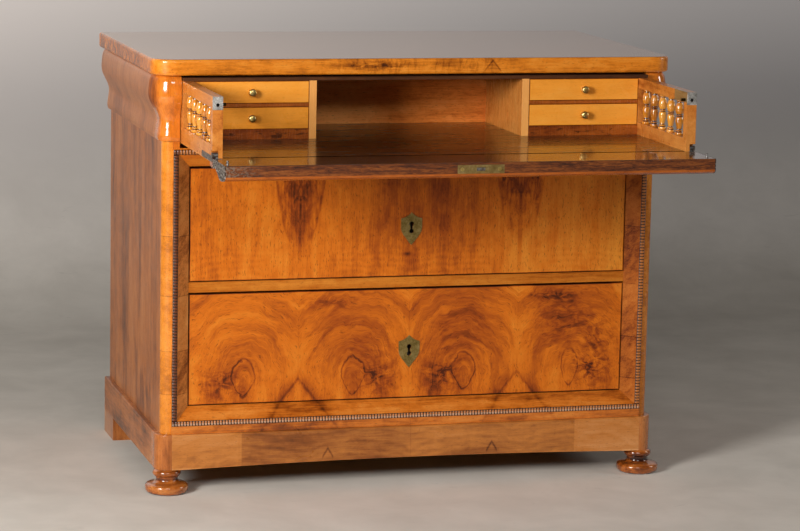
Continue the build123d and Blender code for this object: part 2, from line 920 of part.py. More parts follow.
def fall_slab(x, u, v, mode=Mode.ADD):
    # A box in the open fall from its limits in the closed fall's depth and height
    slab(x, (pivot_y - v[1], pivot_y - v[0]), (pivot_z + u[0], pivot_z + u[1]), mode)


case_u = (plate_u - lock_depth / 2, plate_u + lock_depth / 2)
fall_plate_x = (fall_plate_shift - fall_plate_width / 2, fall_plate_shift + fall_plate_width / 2)
fall_plate_u = (plate_u - fall_plate_height / 2, plate_u + fall_plate_height / 2)
fall_plate_v = (fall_head - fall_plate_thickness, fall_head)
fall_case_x = (fall_plate_shift - lock_width / 2, fall_plate_shift + lock_width / 2)
fall_case_v = (fall_head - fall_lock_depth, fall_head - fall_plate_thickness)
leaf_outer = notch_inner + slide_gap + barrel_length
leaf_x = (leaf_outer - leaf_width, leaf_outer)
leaf_u = (-hinge_rise - leaf_thickness, -hinge_rise)
leaf_v = (hinge_rise, hinge_rise + leaf_length)
stud_v = catch_z - pivot_z
stud_flange_radius = 2.5 * catch_stud_radius
stud_flange_thickness = catch_stud_radius / 2
fall_key_v = fall_head - fall_lock_depth * 0.62
fall_edge = Plane(
    origin=(fall_plate_shift, pivot_y - fall_head, pivot_z + plate_u),
    x_dir=(1, 0, 0),
    z_dir=(0, -1, 0),
)
with BuildPart() as fall_front:
    with BuildSketch(fall_section(-fall_wood_half)):
        fall_outline()
    extrude(amount=2 * fall_wood_half)
    fall_slab(fall_plate_x, fall_plate_u, fall_plate_v, Mode.SUBTRACT)
    fall_slab(fall_case_x, case_u, fall_case_v, Mode.SUBTRACT)
    for sign in (-1, 1):
        leaf_span = sorted(sign * x for x in leaf_x)
        fall_slab(leaf_span, leaf_u, leaf_v, Mode.SUBTRACT)
        with BuildSketch(Plane.XY.offset(pivot_z - hinge_rise)):
            with Locations((sign * side_middle, pivot_y - stud_v)):
                Circle(stud_flange_radius + hinge_gap)
        extrude(amount=-stud_flange_thickness, mode=Mode.SUBTRACT)
    with BuildSketch(Plane.XY.offset(pivot_z + case_u[0])):
        keyhole(fall_plate_shift, pivot_y - fall_key_v)
    extrude(amount=-(pivot_depth + bulge_reach), mode=Mode.SUBTRACT)
    with BuildSketch(fall_edge):
        with GridLocations(screw_pitch, screw_pitch, 2, 1):
            Circle(screw_radius + screw_gap)
    extrude(amount=-(screw_length + screw_gap), mode=Mode.SUBTRACT)
save(fall_front.part, "fall_front")

# Fall: metal plates that cover its two ends
with BuildPart() as fall_end_plate:
    with BuildSketch(fall_section(fall_wood_half)):
        fall_outline()
        with Locations((-pivot_depth, hinge_rise - frieze_height / 2)):
            Rectangle(2 * frieze_height, frieze_height, mode=Mode.SUBTRACT)
    extrude(amount=end_plate_thickness)
save_group([fall_end_plate.part, mirrored(fall_end_plate.part)], "fall_end_plates")

# Fall: hinge leaves with the moving barrels, let into the inner face
with BuildPart() as hinge_leaf:
    fall_slab(leaf_x, leaf_u, leaf_v)
    fall_slab(
        (leaf_outer - barrel_length, leaf_outer),
        (-hinge_rise - leaf_thickness, -leaf_root),
        (-leaf_thickness, hinge_rise - slide_gap),
    )
    fall_slab(
        (leaf_outer - barrel_length, leaf_outer),
        leaf_u,
        (0, hinge_rise),
    )
    with BuildSketch(section(leaf_outer - barrel_length)):
        with Locations((pivot_y, pivot_z)):
            Circle(barrel_radius)
    extrude(amount=barrel_length)
    with BuildSketch(section(leaf_outer - barrel_length)):
        with Locations((pivot_y, pivot_z)):
            Circle(pin_radius + hinge_gap)
    extrude(amount=barrel_length, mode=Mode.SUBTRACT)
save_group([hinge_leaf.part, mirrored(hinge_leaf.part)], "fall_hinge_leaves")

# Fall: studs that enter the catches
with BuildPart() as striker_stud:
    with BuildSketch(Plane.XY.offset(pivot_z - hinge_rise - stud_flange_thickness)):
        with Locations((side_middle, pivot_y - stud_v)):
            Circle(stud_flange_radius)
    extrude(amount=stud_flange_thickness)
    with BuildSketch(Plane.XY.offset(pivot_z - hinge_rise)):
        with Locations((side_middle, pivot_y - stud_v)):
            Circle(catch_stud_radius)
    extrude(amount=catch_stud_reach)
    fillet(striker_stud.faces().sort_by(Axis.Z)[-1].edges(), catch_stud_radius / 2)
save_group([striker_stud.part, mirrored(striker_stud.part)], "striker_studs")

# Fall: lock case and brass plate on its top edge, with the sliding bolt
fall_bolt_x = (fall_plate_shift - fall_bolt_width / 2, fall_plate_shift + fall_bolt_width / 2)
fall_bolt_u = (plate_u - fall_bolt_thickness / 2, plate_u + fall_bolt_thickness / 2)
fall_bolt_v = (fall_head - fall_lock_depth * 0.8, fall_head)
slot_x = (fall_bolt_x[0] - bolt_clearance, fall_bolt_x[1] + bolt_clearance)
slot_u = (fall_bolt_u[0] - bolt_clearance, fall_bolt_u[1] + bolt_clearance)
slot_v = (fall_bolt_v[0] - bolt_clearance, fall_head + overrun)
screw_taper = math.degrees(math.atan2(screw_head_radius - screw_radius, fall_plate_thickness))
with BuildPart() as fall_lock_case:
    fall_slab(fall_case_x, case_u, fall_case_v)
    fall_slab(slot_x, slot_u, slot_v, Mode.SUBTRACT)
with BuildPart() as fall_lock_plate:
    fall_slab(fall_plate_x, fall_plate_u, fall_plate_v)
    fall_slab(slot_x, slot_u, slot_v, Mode.SUBTRACT)
    with BuildSketch(fall_edge):
        with GridLocations(screw_pitch, screw_pitch, 2, 1):
            Circle(screw_head_radius)
    extrude(amount=-fall_plate_thickness, taper=screw_taper, mode=Mode.SUBTRACT)
save_group([fall_lock_case.part, fall_lock_plate.part], "fall_lock")
lock_plate_screws = []
for sign in (-1, 1):
    with BuildPart() as lock_screw:
        with BuildSketch(fall_edge):
            with Locations((sign * screw_pitch / 2, 0)):
                Circle(screw_head_radius)
        extrude(amount=-fall_plate_thickness, taper=screw_taper)
        with BuildSketch(fall_edge):
            with Locations((sign * screw_pitch / 2, 0)):
                Circle(screw_radius)
        extrude(amount=-screw_length)
    lock_plate_screws.append(lock_screw.part)
save_group(lock_plate_screws, "lock_plate_screws")
with BuildPart() as fall_bolt:
    fall_slab(fall_bolt_x, fall_bolt_u, fall_bolt_v)
save(fall_bolt.part, "fall_bolt")


# Small drawers: one open box with a front, used four times
def small_drawer(x, low, high):
    x_low = x[0] + small_gap
    x_high = x[1] - small_gap
    z_low = low + slide_gap
    z_high = high - small_gap
    box_y = nest_y + small_front_thickness
    box_back = nest_back_y - small_back_gap
    wall_top = z_high - small_bottom
    with BuildPart() as front:
        slab((x_low, x_high), (nest_y, box_y), (z_low, z_high))
    with BuildPart() as wall_low:
        slab((x_low, x_low + small_wall), (box_y, box_back), (z_low, wall_top))
    with BuildPart() as wall_high:
        slab((x_high - small_wall, x_high), (box_y, box_back), (z_low, wall_top))
    with BuildPart() as back:
        slab((x_low + small_wall, x_high - small_wall), (box_back - small_wall, box_back), (z_low, wall_top))
    with BuildPart() as bottom:
        slab(
            (x_low + small_wall, x_high - small_wall),
            (box_y, box_back - small_wall),
            (z_low, z_low + small_bottom),
        )
    return [front.part, wall_low.part, wall_high.part, back.part, bottom.part]


def small_knob(x, z):
    # A turned knob on a thin rose, standing out of the drawer front
    with BuildPart() as knob:
        with BuildSketch(Plane.XY.offset(z)) as half:
            with BuildLine() as outline:
                Polyline(
                    (x, nest_y),
                    (x + knob_rose_radius, nest_y),
                    (x + knob_rose_radius, nest_y - knob_rose_thickness),
                    (x + knob_neck_radius, nest_y - knob_rose_thickness),
                    (x + knob_neck_radius, nest_y - knob_reach / 3),
                )
                Spline(
                    (x + knob_neck_radius, nest_y - knob_reach / 3),
                    (x + knob_radius, nest_y - knob_reach * 0.66),
                    (x, nest_y - knob_reach),
                    tangents=[(1, 0), (-1, 0)],
                )
                Line((x, nest_y - knob_reach), (x, nest_y))
            make_face(outline.edges())
        revolve(half.sketch, axis=Axis((x, nest_y, z), (0, 1, 0)))
    return knob.part


small_x = (partition_outer, secretaire_inner)
for side, x in (("left", (-small_x[1], -small_x[0])), ("right", small_x)):
    for level, low, high in (
        ("lower", nest_base, nest_divider_z),
        ("upper", nest_upper_base, side_top),
    ):
        save_group(small_drawer(x, low, high), f"small_drawer_{level}_{side}")
        save(small_knob((x[0] + x[1]) / 2, (low + high) / 2), f"small_knob_{level}_{side}")


# Long drawers: shares of the shield's half width and half height, from a tip to the foot
shield_tip_shares = (1.0, 0.62)
shield_hollow_shares = (0.47, 0.74)
shield_side_shares = ((1.0, 0.12), (0.87, -0.26), (0.46, -0.63), (0.0, -1.0))


def shield(z):
    # A shield with a peak between two hollows and a point at its foot
    half_width = escutcheon_width / 2
    half_height = escutcheon_height / 2
    with BuildLine() as outline:
        for sign in (-1, 1):
            tip, hollow, *side = [
                (sign * half_width * across, z + half_height * up)
                for across, up in (shield_tip_shares, shield_hollow_shares) + shield_side_shares
            ]
            ThreePointArc((0, z + half_height), hollow, tip)
            Line(tip, side[0])
            Spline(*side, tangents=[(0, -1), (-sign, -1)])
    make_face(outline.edges())


# Long drawers: fronts with keyholes, boxes, shield escutcheons, locks and bolts


box_y = splay_y + long_front_thickness
box_back_y = back_panel_y - long_back_gap
front_half = opening_half - front_gap
for level, low, high, top_gap in (
    ("lower", opening_bottom, divider_bottom, lower_top_gap),
    ("upper", divider_top, opening_top, upper_top_gap),
):
    lock_z = (low + high) / 2 - escutcheon_drop
    front_top = high - top_gap
    with BuildPart() as long_front:
        slab((-front_half, front_half), (splay_y, box_y), (low + front_gap, front_top))
        with BuildSketch(elevation(splay_y)):
            keyhole(0, lock_z + keyhole_rise)
        extrude(amount=-long_front_thickness, mode=Mode.SUBTRACT)
    save(long_front.part, f"{level}_drawer_front")

    side_x = (front_half - long_side_thickness, front_half)
    box_low = low + slide_gap
    box_high = high - long_side_drop
    with BuildPart() as long_side:
        slab(side_x, (box_y, box_back_y), (box_low, box_high))
    with BuildPart() as long_back:
        slab((-side_x[0], side_x[0]), (box_back_y - long_side_thickness, box_back_y), (box_low, box_high))
    with BuildPart() as long_bottom:
        slab(
            (-side_x[0], side_x[0]),
            (box_y, box_back_y - long_side_thickness),
            (box_low, box_low + long_bottom_thickness),
        )
    save_group(
        [long_side.part, mirrored(long_side.part), long_back.part, long_bottom.part],
        f"{level}_drawer_box",
    )

    with BuildPart() as long_escutcheon:
        with BuildSketch(elevation(splay_y)):
            shield(lock_z)
            with BuildSketch(Plane.XY, mode=Mode.SUBTRACT):
                keyhole(0, lock_z + keyhole_rise)
        extrude(amount=escutcheon_thickness)
    save(long_escutcheon.part, f"{level}_escutcheon")

    bolt_x = (-bolt_width / 2, bolt_width / 2)
    bolt_span_y = (bolt_y - bolt_thickness / 2, bolt_y + bolt_thickness / 2)
    bolt_z = (lock_z + keyhole_length, front_top - slide_gap)
    bolt_slot_x = (bolt_x[0] - bolt_clearance, bolt_x[1] + bolt_clearance)
    bolt_slot_y = (bolt_span_y[0] - bolt_clearance, bolt_span_y[1] + bolt_clearance)
    with BuildPart() as lock_case:
        slab(
            (-lock_width / 2, lock_width / 2),
            (box_y, box_y + lock_depth),
            (lock_z - lock_height / 2, lock_z + lock_height / 2),
        )
        slab(
            bolt_slot_x,
            bolt_slot_y,
            (bolt_z[0] - bolt_clearance, front_top),
            Mode.SUBTRACT,
        )
    with BuildPart() as bolt_staple:
        slab(
            (-bolt_width, bolt_width),
            (box_y, box_y + lock_depth),
            (front_top - bolt_width, front_top - bolt_clearance),
        )
        slab(bolt_slot_x, bolt_slot_y, (front_top - 2 * bolt_width, front_top), Mode.SUBTRACT)
    save_group([lock_case.part, bolt_staple.part], f"{level}_drawer_lock")
    with BuildPart() as long_bolt:
        slab(bolt_x, bolt_span_y, bolt_z)
    save(long_bolt.part, f"{level}_drawer_bolt")
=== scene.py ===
import bmesh
import bpy
import math
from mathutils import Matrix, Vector


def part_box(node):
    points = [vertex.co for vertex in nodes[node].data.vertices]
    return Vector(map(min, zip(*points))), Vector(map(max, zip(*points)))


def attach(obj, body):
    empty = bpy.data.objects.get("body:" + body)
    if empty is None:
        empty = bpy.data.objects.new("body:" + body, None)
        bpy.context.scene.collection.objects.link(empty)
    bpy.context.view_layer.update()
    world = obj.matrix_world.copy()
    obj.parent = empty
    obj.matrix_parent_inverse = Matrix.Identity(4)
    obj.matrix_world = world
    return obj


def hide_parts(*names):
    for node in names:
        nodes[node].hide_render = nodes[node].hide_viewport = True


# A secretaire chest in figured veneer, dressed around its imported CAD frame. All lengths are metres.

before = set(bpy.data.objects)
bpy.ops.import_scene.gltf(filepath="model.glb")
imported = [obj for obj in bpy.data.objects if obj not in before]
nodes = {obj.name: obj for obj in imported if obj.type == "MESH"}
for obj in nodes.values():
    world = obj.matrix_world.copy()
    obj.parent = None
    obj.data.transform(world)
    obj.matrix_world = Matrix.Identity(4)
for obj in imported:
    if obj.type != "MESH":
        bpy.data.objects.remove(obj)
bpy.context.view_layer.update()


# Shader helpers

def tone(code):
    # A colour in linear values from its hex code
    values = []
    for i in (0, 2, 4):
        v = int(code[i:i + 2], 16) / 255
        values.append(v / 12.92 if v <= 0.04045 else ((v + 0.055) / 1.055) ** 2.4)
    return (*values, 1.0)


class Shader:
    """A material with short calls for its nodes. A value is a number or the output of a node."""

    def __init__(self, name):
        self.material = bpy.data.materials.new(name)
        self.material.use_nodes = True
        self.tree = self.material.node_tree
        self.tree.nodes.clear()
        output = self.new("ShaderNodeOutputMaterial")
        self.surface = self.new("ShaderNodeBsdfPrincipled")
        self.tree.links.new(self.surface.outputs[0], output.inputs[0])
        self.place = self.new("ShaderNodeTexCoord").outputs["Object"]
        split = self.new("ShaderNodeSeparateXYZ")
        self.tree.links.new(self.place, split.inputs[0])
        self.x, self.y, self.z = split.outputs

    def new(self, kind):
        return self.tree.nodes.new(kind)

    def put(self, value, socket):
        if isinstance(value, bpy.types.NodeSocket):
            self.tree.links.new(value, socket)
        else:
            socket.default_value = value

    def math(self, operation, a, b=0.0):
        node = self.new("ShaderNodeMath")
        node.operation = operation
        self.put(a, node.inputs[0])
        self.put(b, node.inputs[1])
        return node.outputs[0]

    def add(self, *values):
        total = values[0]
        for value in values[1:]:
            total = self.math("ADD", total, value)
        return total

    def times(self, *values):
        total = values[0]
        for value in values[1:]:
            total = self.math("MULTIPLY", total, value)
        return total

    def take(self, a, b):
        return self.math("SUBTRACT", a, b)

    def size(self, value):
        return self.math("ABSOLUTE", value)

    def far(self, a, b):
        # The length of a step with these two parts
        return self.math("SQRT", self.add(self.times(a, a), self.times(b, b)))

    def rise(self, value, low, high):
        # 0 before low, 1 after high and smooth between them; low may be the larger one
        node = self.new("ShaderNodeMapRange")
        node.interpolation_type = "SMOOTHSTEP"
        start, end = (0.0, 1.0) if low < high else (1.0, 0.0)
        for item, socket in zip((value, min(low, high), max(low, high), start, end), node.inputs):
            self.put(item, socket)
        return node.outputs[0]

    def bell(self, value, width):
        # A soft peak of 1 where the value is 0
        ratio = self.math("DIVIDE", value, width)
        return self.math("EXPONENT", self.times(ratio, ratio, -1.0))

    def spot(self, across, up, width, height):
        # A soft round or oval patch
        return self.bell(self.far(self.math("DIVIDE", across, width), self.math("DIVIDE", up, height)), 1.0)

    def vector(self, x, y, z):
        node = self.new("ShaderNodeCombineXYZ")
        for value, socket in zip((x, y, z), node.inputs):
            self.put(value, socket)
        return node.outputs[0]

    def noise(self, scale, detail=3.0, rough=0.55, bend=0.0, at=None):
        # scale is in cycles a metre along x, y and z, or along the parts of at
        stretch = self.new("ShaderNodeVectorMath")
        stretch.operation = "MULTIPLY"
        self.put(self.place if at is None else at, stretch.inputs[0])
        stretch.inputs[1].default_value = scale
        node = self.new("ShaderNodeTexNoise")
        self.put(stretch.outputs[0], node.inputs["Vector"])
        node.inputs["Scale"].default_value = 1.0
        node.inputs["Detail"].default_value = detail
        node.inputs["Roughness"].default_value = rough
        node.inputs["Distortion"].default_value = bend
        return node.outputs[0]

    def ramp(self, value, stops):
        node = self.new("ShaderNodeValToRGB")
        self.put(value, node.inputs[0])
        points = node.color_ramp.elements
        points[0].position, points[0].color = stops[0][0], tone(stops[0][1])
        points[1].position, points[1].color = stops[-1][0], tone(stops[-1][1])
        for position, code in stops[1:-1]:
            points.new(position).color = tone(code)
        return node.outputs[0]

    def mix(self, share, a, b):
        # From colour a to colour b, each a hex code or an output; 6, 7 and 2 are the node's colour sockets
        node = self.new("ShaderNodeMix")
        node.data_type = "RGBA"
        self.put(share, node.inputs[0])
        self.put(tone(a) if isinstance(a, str) else a, node.inputs[6])
        self.put(tone(b) if isinstance(b, str) else b, node.inputs[7])
        return node.outputs[2]

    def relief(self, height, strength, distance, edge=0.0):
        # Bump from a height, over edges that look rounded by the radius edge
        node = self.new("ShaderNodeBump")
        node.inputs["Strength"].default_value = strength
        node.inputs["Distance"].default_value = distance
        self.put(height, node.inputs["Height"])
        if edge:
            bevel = self.new("ShaderNodeBevel")
            bevel.samples = 4
            bevel.inputs["Radius"].default_value = edge
            self.put(bevel.outputs[0], node.inputs["Normal"])
        self.put(node.outputs[0], self.surface.inputs["Normal"])

    def finish(self, colour, rough, metal=0.0, coat=0.0, coat_rough=0.1, level=0.5):
        inputs = self.surface.inputs
        self.put(colour, inputs["Base Color"])
        self.put(rough, inputs["Roughness"])
        self.put(metal, inputs["Metallic"])
        self.put(coat, inputs["Coat Weight"])
        self.put(coat_rough, inputs["Coat Roughness"])
        self.put(level, inputs["Specular IOR Level"])
        return self.material


# Wood: tones from dark to light, and grain along one axis

AXES = {"x": 0, "y": 1, "z": 2}
ORANGE = ("4a1c05", "96420a", "ca6810", "e28d2c")
GOLD = ("4a2006", "97500f", "d07a1e", "ee9d40")
EDGE = ("4a2006", "9e520e", "dc7e1e", "f4a23e")
CUSHION = ("4a1c05", "964a0e", "ce701e", "e89640")
CROSSED = ("3a1606", "965018", "d4843a", "eca65a")
FEET = ("2a0e05", "6e340f", "a85a20", "cc8442")
RAIL = ("401a08", "8c430d", "c2691d", "de8c3b")
BROWN = ("3c1c0a", "86491a", "ba7230", "d4945a")
CORNER = ("3c1c0a", "7e4014", "b0642a", "ce884c")
RED = ("34120a", "78350f", "ac581c", "cc7a34")
SIDE = ("3c1c0a", "784019", "a65f28", "c08045")
OLIVE = ("2a2010", "524022", "806640", "a08658")
TURNED = ("2c0e04", "944a0c", "dc8a24", "f8bc54")
GLOWING = ("6e2c0a", "b8581a", "e48034", "fca458")
YELLOW = ("3a1606", "7c3c0c", "b26016", "ce802c")
STILE = ("2c1003", "70310a", "a05416", "c0722c")
MAPLE = ("94480c", "cc7a1e", "f49a32", "fcb350")
DARK = ("140802", "2f1606", "4f290d", "73421c")
INNER = ("5c2606", "944a16", "c4742e", "de9448")
PLAIN = ("4a2e14", "7d5428", "a3763c", "bc935a")
TOP = ("4a2a12", "6a401c", "8a5a2c", "a47038")


def along(grain, across, lengthways):
    # Noise scales that are across, except along the grain
    scale = [across] * 3
    scale[AXES[grain]] = lengthways
    return tuple(scale)


MIDDLE_TONE = 0.52


def grained(s, grain, tones, dark=None, at=None, seed=0.0, contrast=1.0, cloud=1.0, pore=0.4):
    # The colour of one wood, and how high its surface is: clouds, streaks, fine lines and pores.
    # A darkness above 1 paints the black shade of a hollow.
    if at is None:
        shift = s.new("ShaderNodeVectorMath")
        shift.operation = "ADD"
        s.put(s.place, shift.inputs[0])
        shift.inputs[1].default_value = (seed, seed * 0.7, seed * 1.3)
        at = shift.outputs[0]
    clouds = s.noise(along(grain, 8.0, 2.4), 2.0, 0.5, 0.6, at)
    streaks = s.noise(along(grain, 55.0, 3.0), 4.0, 0.6, 0.4, at)
    lines = s.noise(along(grain, 330.0, 22.0), 2.0, 0.6, 0.2, at)
    mottle = s.noise(along(grain, 46.0, 30.0), 5.0, 0.62, 0.5, at)
    pores = s.noise(along(grain, 620.0, 120.0), 1.0, 0.5, 0.0, at)
    level = s.add(
        MIDDLE_TONE,
        s.times(s.take(clouds, 0.5), 0.9 * cloud),
        s.times(s.take(streaks, 0.5), 0.60 * contrast),
        s.times(s.take(mottle, 0.5), 0.55 * contrast),
        s.times(s.take(lines, 0.5), 0.40 * contrast),
        s.times(dark or 0.0, -1.0),
    )
    colour = s.ramp(level, [(0.0, tones[0]), (0.25, tones[1]), (MIDDLE_TONE, tones[2]), (0.95, tones[3])])
    pits = s.rise(pores, 0.60, 0.75)
    colour = s.mix(s.times(pits, pore), colour, tones[0])
    if dark:
        colour = s.mix(s.rise(dark, 1.0, 1.5), colour, "060302")
    return colour, s.take(s.times(lines, 0.5), pits)


EDGE_ROUND = 0.0012


def wood(name, grain, tones, figure=None, contrast=1.0, cloud=1.0, gloss=0.3, coat=0.4, seed=0.0, pore=0.4,
         level=0.3):
    # A board or veneer of one wood. figure gives its darkness, from its figure and on some woods from painted
    # shade and painted light, and the coordinates that the grain follows.
    s = Shader(name)
    dark, at = figure(s) if figure else (None, None)
    colour, height = grained(s, grain, tones, dark, at, seed, contrast, cloud, pore)
    smear = s.noise((14.0, 14.0, 14.0), 3.0, 0.6, 0.4)
    s.relief(height, 0.10, 0.0004, EDGE_ROUND)
    rough = s.add(gloss, s.times(s.take(smear, 0.5), 0.16))
    return s.finish(colour, rough, coat=coat, coat_rough=s.add(0.06, s.times(smear, 0.12)), level=level)


# Figure of the front: four leaves opened like a book about x = 0 and about the seams beside it.
# Places and widths are metres, and the last factor of a mark is how dark it is.

SEAM = 0.252
EYE_ACROSS = 0.124
EYE_Z = 0.243
ROOF_Z = 0.241
ROOF_SLOPE = 1.25


def leaf(s):
    # The distance from the nearer outer seam, the same on both sides of it
    return s.size(s.take(s.size(s.x), SEAM))


def seam_lines(s, strength):
    # Fine lines where the leaves meet
    near = s.math("MINIMUM", leaf(s), s.size(s.x))
    return s.times(s.rise(near, 0.0015, 0.0004), strength)


def gable(s, across, apex, slope, width, reach):
    # Two slanting lines that meet at an apex, down to a reach on each side
    below = s.take(apex, s.add(s.z, s.times(across, slope)))
    return s.times(s.bell(below, width), s.rise(across, reach, reach * 0.75))


def roofs(s, across):
    # Gable-shaped marks that stand on the outer seams, low on the front
    wild = s.noise((60.0, 60.0, 60.0), 3.0, 0.6)
    drift = s.add(across, s.times(s.take(wild, 0.5), 0.006))
    faint = s.take(1.0, s.times(s.rise(s.x, -0.10, 0.10), 0.15))
    line = s.times(gable(s, drift, ROOF_Z, ROOF_SLOPE, 0.0055, 0.100), s.rise(wild, 0.22, 0.52), faint, 0.27)
    blur = s.times(gable(s, drift, ROOF_Z + 0.008, ROOF_SLOPE, 0.016, 0.095), faint, 0.20)
    second = s.times(gable(s, drift, ROOF_Z - 0.050, 1.35, 0.0030, 0.050), s.rise(wild, 0.40, 0.55), 0.10)
    slant = s.add(s.z, s.times(drift, ROOF_SLOPE))
    inside = s.times(s.rise(slant, ROOF_Z, ROOF_Z - 0.012), s.rise(across, 0.10, 0.06), 0.09)
    return s.add(line, blur, second, inside)


def rim(s, node, reach):
    # 1 at the border of a node's front and 0 from reach inwards
    low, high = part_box(node)
    side = s.math("MINIMUM", s.take(s.x, low[0]), s.take(high[0], s.x))
    level = s.math("MINIMUM", s.take(s.z, low[2]), s.take(high[2], s.z))
    return s.rise(s.math("MINIMUM", side, level), reach, reach * 0.3)


def keyhole_depth(s, node):
    # 1 inside the keyhole of a long drawer, behind its face
    low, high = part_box(node)
    behind = s.rise(s.y, low[1] + 0.0008, low[1] + 0.0030)
    before_back = s.rise(s.y, high[1] - 0.0002, high[1] - 0.0008)
    return s.times(behind, s.rise(s.size(s.x), 0.020, 0.012), before_back)


def drawer_rim_and_keyhole_shade(s, node):
    # Painted shade of the gap, and dirt, along the border of a long drawer's front, and black painted shade
    # in its keyhole
    return s.add(s.times(rim(s, node, 0.0016), 0.45), s.times(keyhole_depth(s, node), 2.0))


def arched(s, across, sway):
    # The distance from an eye's upright line below it and from the eye itself above it, and a grain
    # that keeps to that distance
    slow = s.take(s.noise((8.0, 12.0, 8.0), 2.0, 0.5, 0.0, s.vector(across, s.x, s.z)), 0.5)
    up = s.math("MAXIMUM", s.take(s.z, EYE_Z), 0.0)
    arch = s.far(s.take(across, EYE_ACROSS), s.times(up, 0.85))
    arch = s.add(arch, s.times(slow, 0.045), s.times(sway, 0.022))
    return arch, s.vector(arch, s.times(s.x, 0.08), s.z)


def arcs(s, arch, at, flow, grow):
    # Soft arcs over the eyes, stronger towards the right
    broad = s.noise((40.0, 6.0, 8.0), 3.0, 0.6, 0.8, at)
    over = s.times(s.rise(s.z, 0.250, 0.300), s.rise(arch, 0.175, 0.075))
    uneven = s.rise(s.noise((7.0, 7.0, 7.0), 3.0, 0.6), 0.34, 0.62)
    strength = s.times(s.add(0.045, s.times(grow, 0.050)), s.add(0.30, s.times(uneven, 0.95)))
    narrow = s.times(s.rise(flow, 0.40, 0.74), over, strength)
    return s.add(narrow, s.times(s.rise(broad, 0.36, 0.70), over, strength))


def eyes(s, across, wild, sway, flow):
    # Outlined teardrops, narrower towards the right of the front, and the lines that bend around them
    width = s.take(0.0275, s.times(s.rise(s.x, 0.20, 0.30), 0.0070))
    dx = s.math("DIVIDE", s.take(across, EYE_ACROSS), width)
    dz = s.math("DIVIDE", s.take(s.z, EYE_Z + 0.002), 0.043)
    taper = s.add(1.0, s.times(s.math("MINIMUM", dz, 0.0), -0.85))
    eye = s.add(s.far(s.times(dx, taper), dz), s.times(sway, 0.60))
    blots = s.rise(wild, 0.42, 0.62)
    line = s.times(s.bell(s.take(eye, 1.0), 0.065), s.rise(wild, 0.28, 0.54), 0.30)
    fill = s.times(s.rise(eye, 1.05, 0.95), blots, 0.05)
    inner = s.times(s.bell(s.take(eye, 0.70), 0.09), blots, 0.11)
    hood = s.times(s.bell(s.take(eye, 1.36), 0.11), s.rise(dz, 0.1, 0.8), s.rise(wild, 0.36, 0.60), 0.13)
    brow = s.times(s.bell(s.take(eye, 1.75), 0.15), s.rise(dz, 0.3, 1.0), s.rise(flow, 0.40, 0.66), 0.09)
    halo = s.times(s.rise(eye, 2.8, 0.9), 0.07)
    return s.add(line, fill, inner, hood, brow, halo)


def smoke(s, across, grow, twin):
    # Smoky patches beside the eyes, over them and near the top edge, strongest on the fourth leaf
    rough = s.noise((40.0, 12.0, 70.0), 4.0, 0.65, 0.8, twin)
    coarse, fine = s.rise(rough, 0.28, 0.70), s.rise(rough, 0.36, 0.70)
    second = s.times(s.rise(s.x, -SEAM - 0.006, -SEAM + 0.006), s.rise(s.x, 0.02, -0.02))
    fourth = s.rise(s.x, SEAM - 0.006, SEAM + 0.006)
    growing = s.add(0.35, s.times(grow, 0.35), fourth)

    def patch(out, up, width, height):
        return s.spot(s.take(across, out), s.take(s.z, up), width, height)

    cheek = s.times(patch(0.170, 0.244, 0.028, 0.018), coarse, 0.32)
    veil = s.add(0.12, s.times(s.rise(rough, 0.36, 0.68), 0.26))
    beside = s.times(patch(0.178, 0.228, 0.045, 0.046), veil)
    top = s.times(patch(0.070, 0.412, 0.065, 0.013), coarse, s.add(second, fourth))
    top = s.times(top, s.add(0.30, s.times(grow, 0.10)))
    crown = s.times(patch(0.105, 0.360, 0.080, 0.060), s.add(0.08, s.times(fine, 0.15)), growing)
    flank = s.times(patch(0.190, 0.300, 0.045, 0.060), fine, growing, 0.18)
    return s.add(cheek, beside, top, crown, flank)


def lower_figure(s):
    # The lower drawer: eyes under soft arcs, smoky patches and gables on the outer seams
    across = leaf(s)
    twin = s.vector(across, s.times(s.x, 0.08), s.z)
    wild = s.noise((26.0, 26.0, 26.0), 3.0, 0.6, 0.4, twin)
    sway = s.take(wild, 0.5)
    grow = s.rise(s.x, -0.60, 0.60)
    arch, at = arched(s, across, sway)
    flow = s.noise((90.0, 6.0, 12.0), 3.0, 0.6, 0.8, at)
    pale = s.times(s.rise(across, 0.050, 0.012), -0.05)
    dusk = s.times(s.rise(s.x, 0.000, 0.012), s.rise(s.x, 0.21, 0.10), 0.05)
    # Painted light: lighter towards the right, where less light reaches the front
    painted_light_right = s.times(s.rise(s.x, 0.10, 0.50), -0.12)
    marks = s.add(arcs(s, arch, at, flow, grow), eyes(s, across, wild, sway, flow))
    marks = s.add(marks, smoke(s, across, grow, twin), roofs(s, across), seam_lines(s, 0.06))
    return s.add(marks, pale, dusk, painted_light_right, drawer_rim_and_keyhole_shade(s, "lower_drawer_front")), at


FLAME_FOOT = 0.515
FLAME_HEIGHT = 0.158
FLAME_HALF = 0.053
HEART_FOOT = 0.600


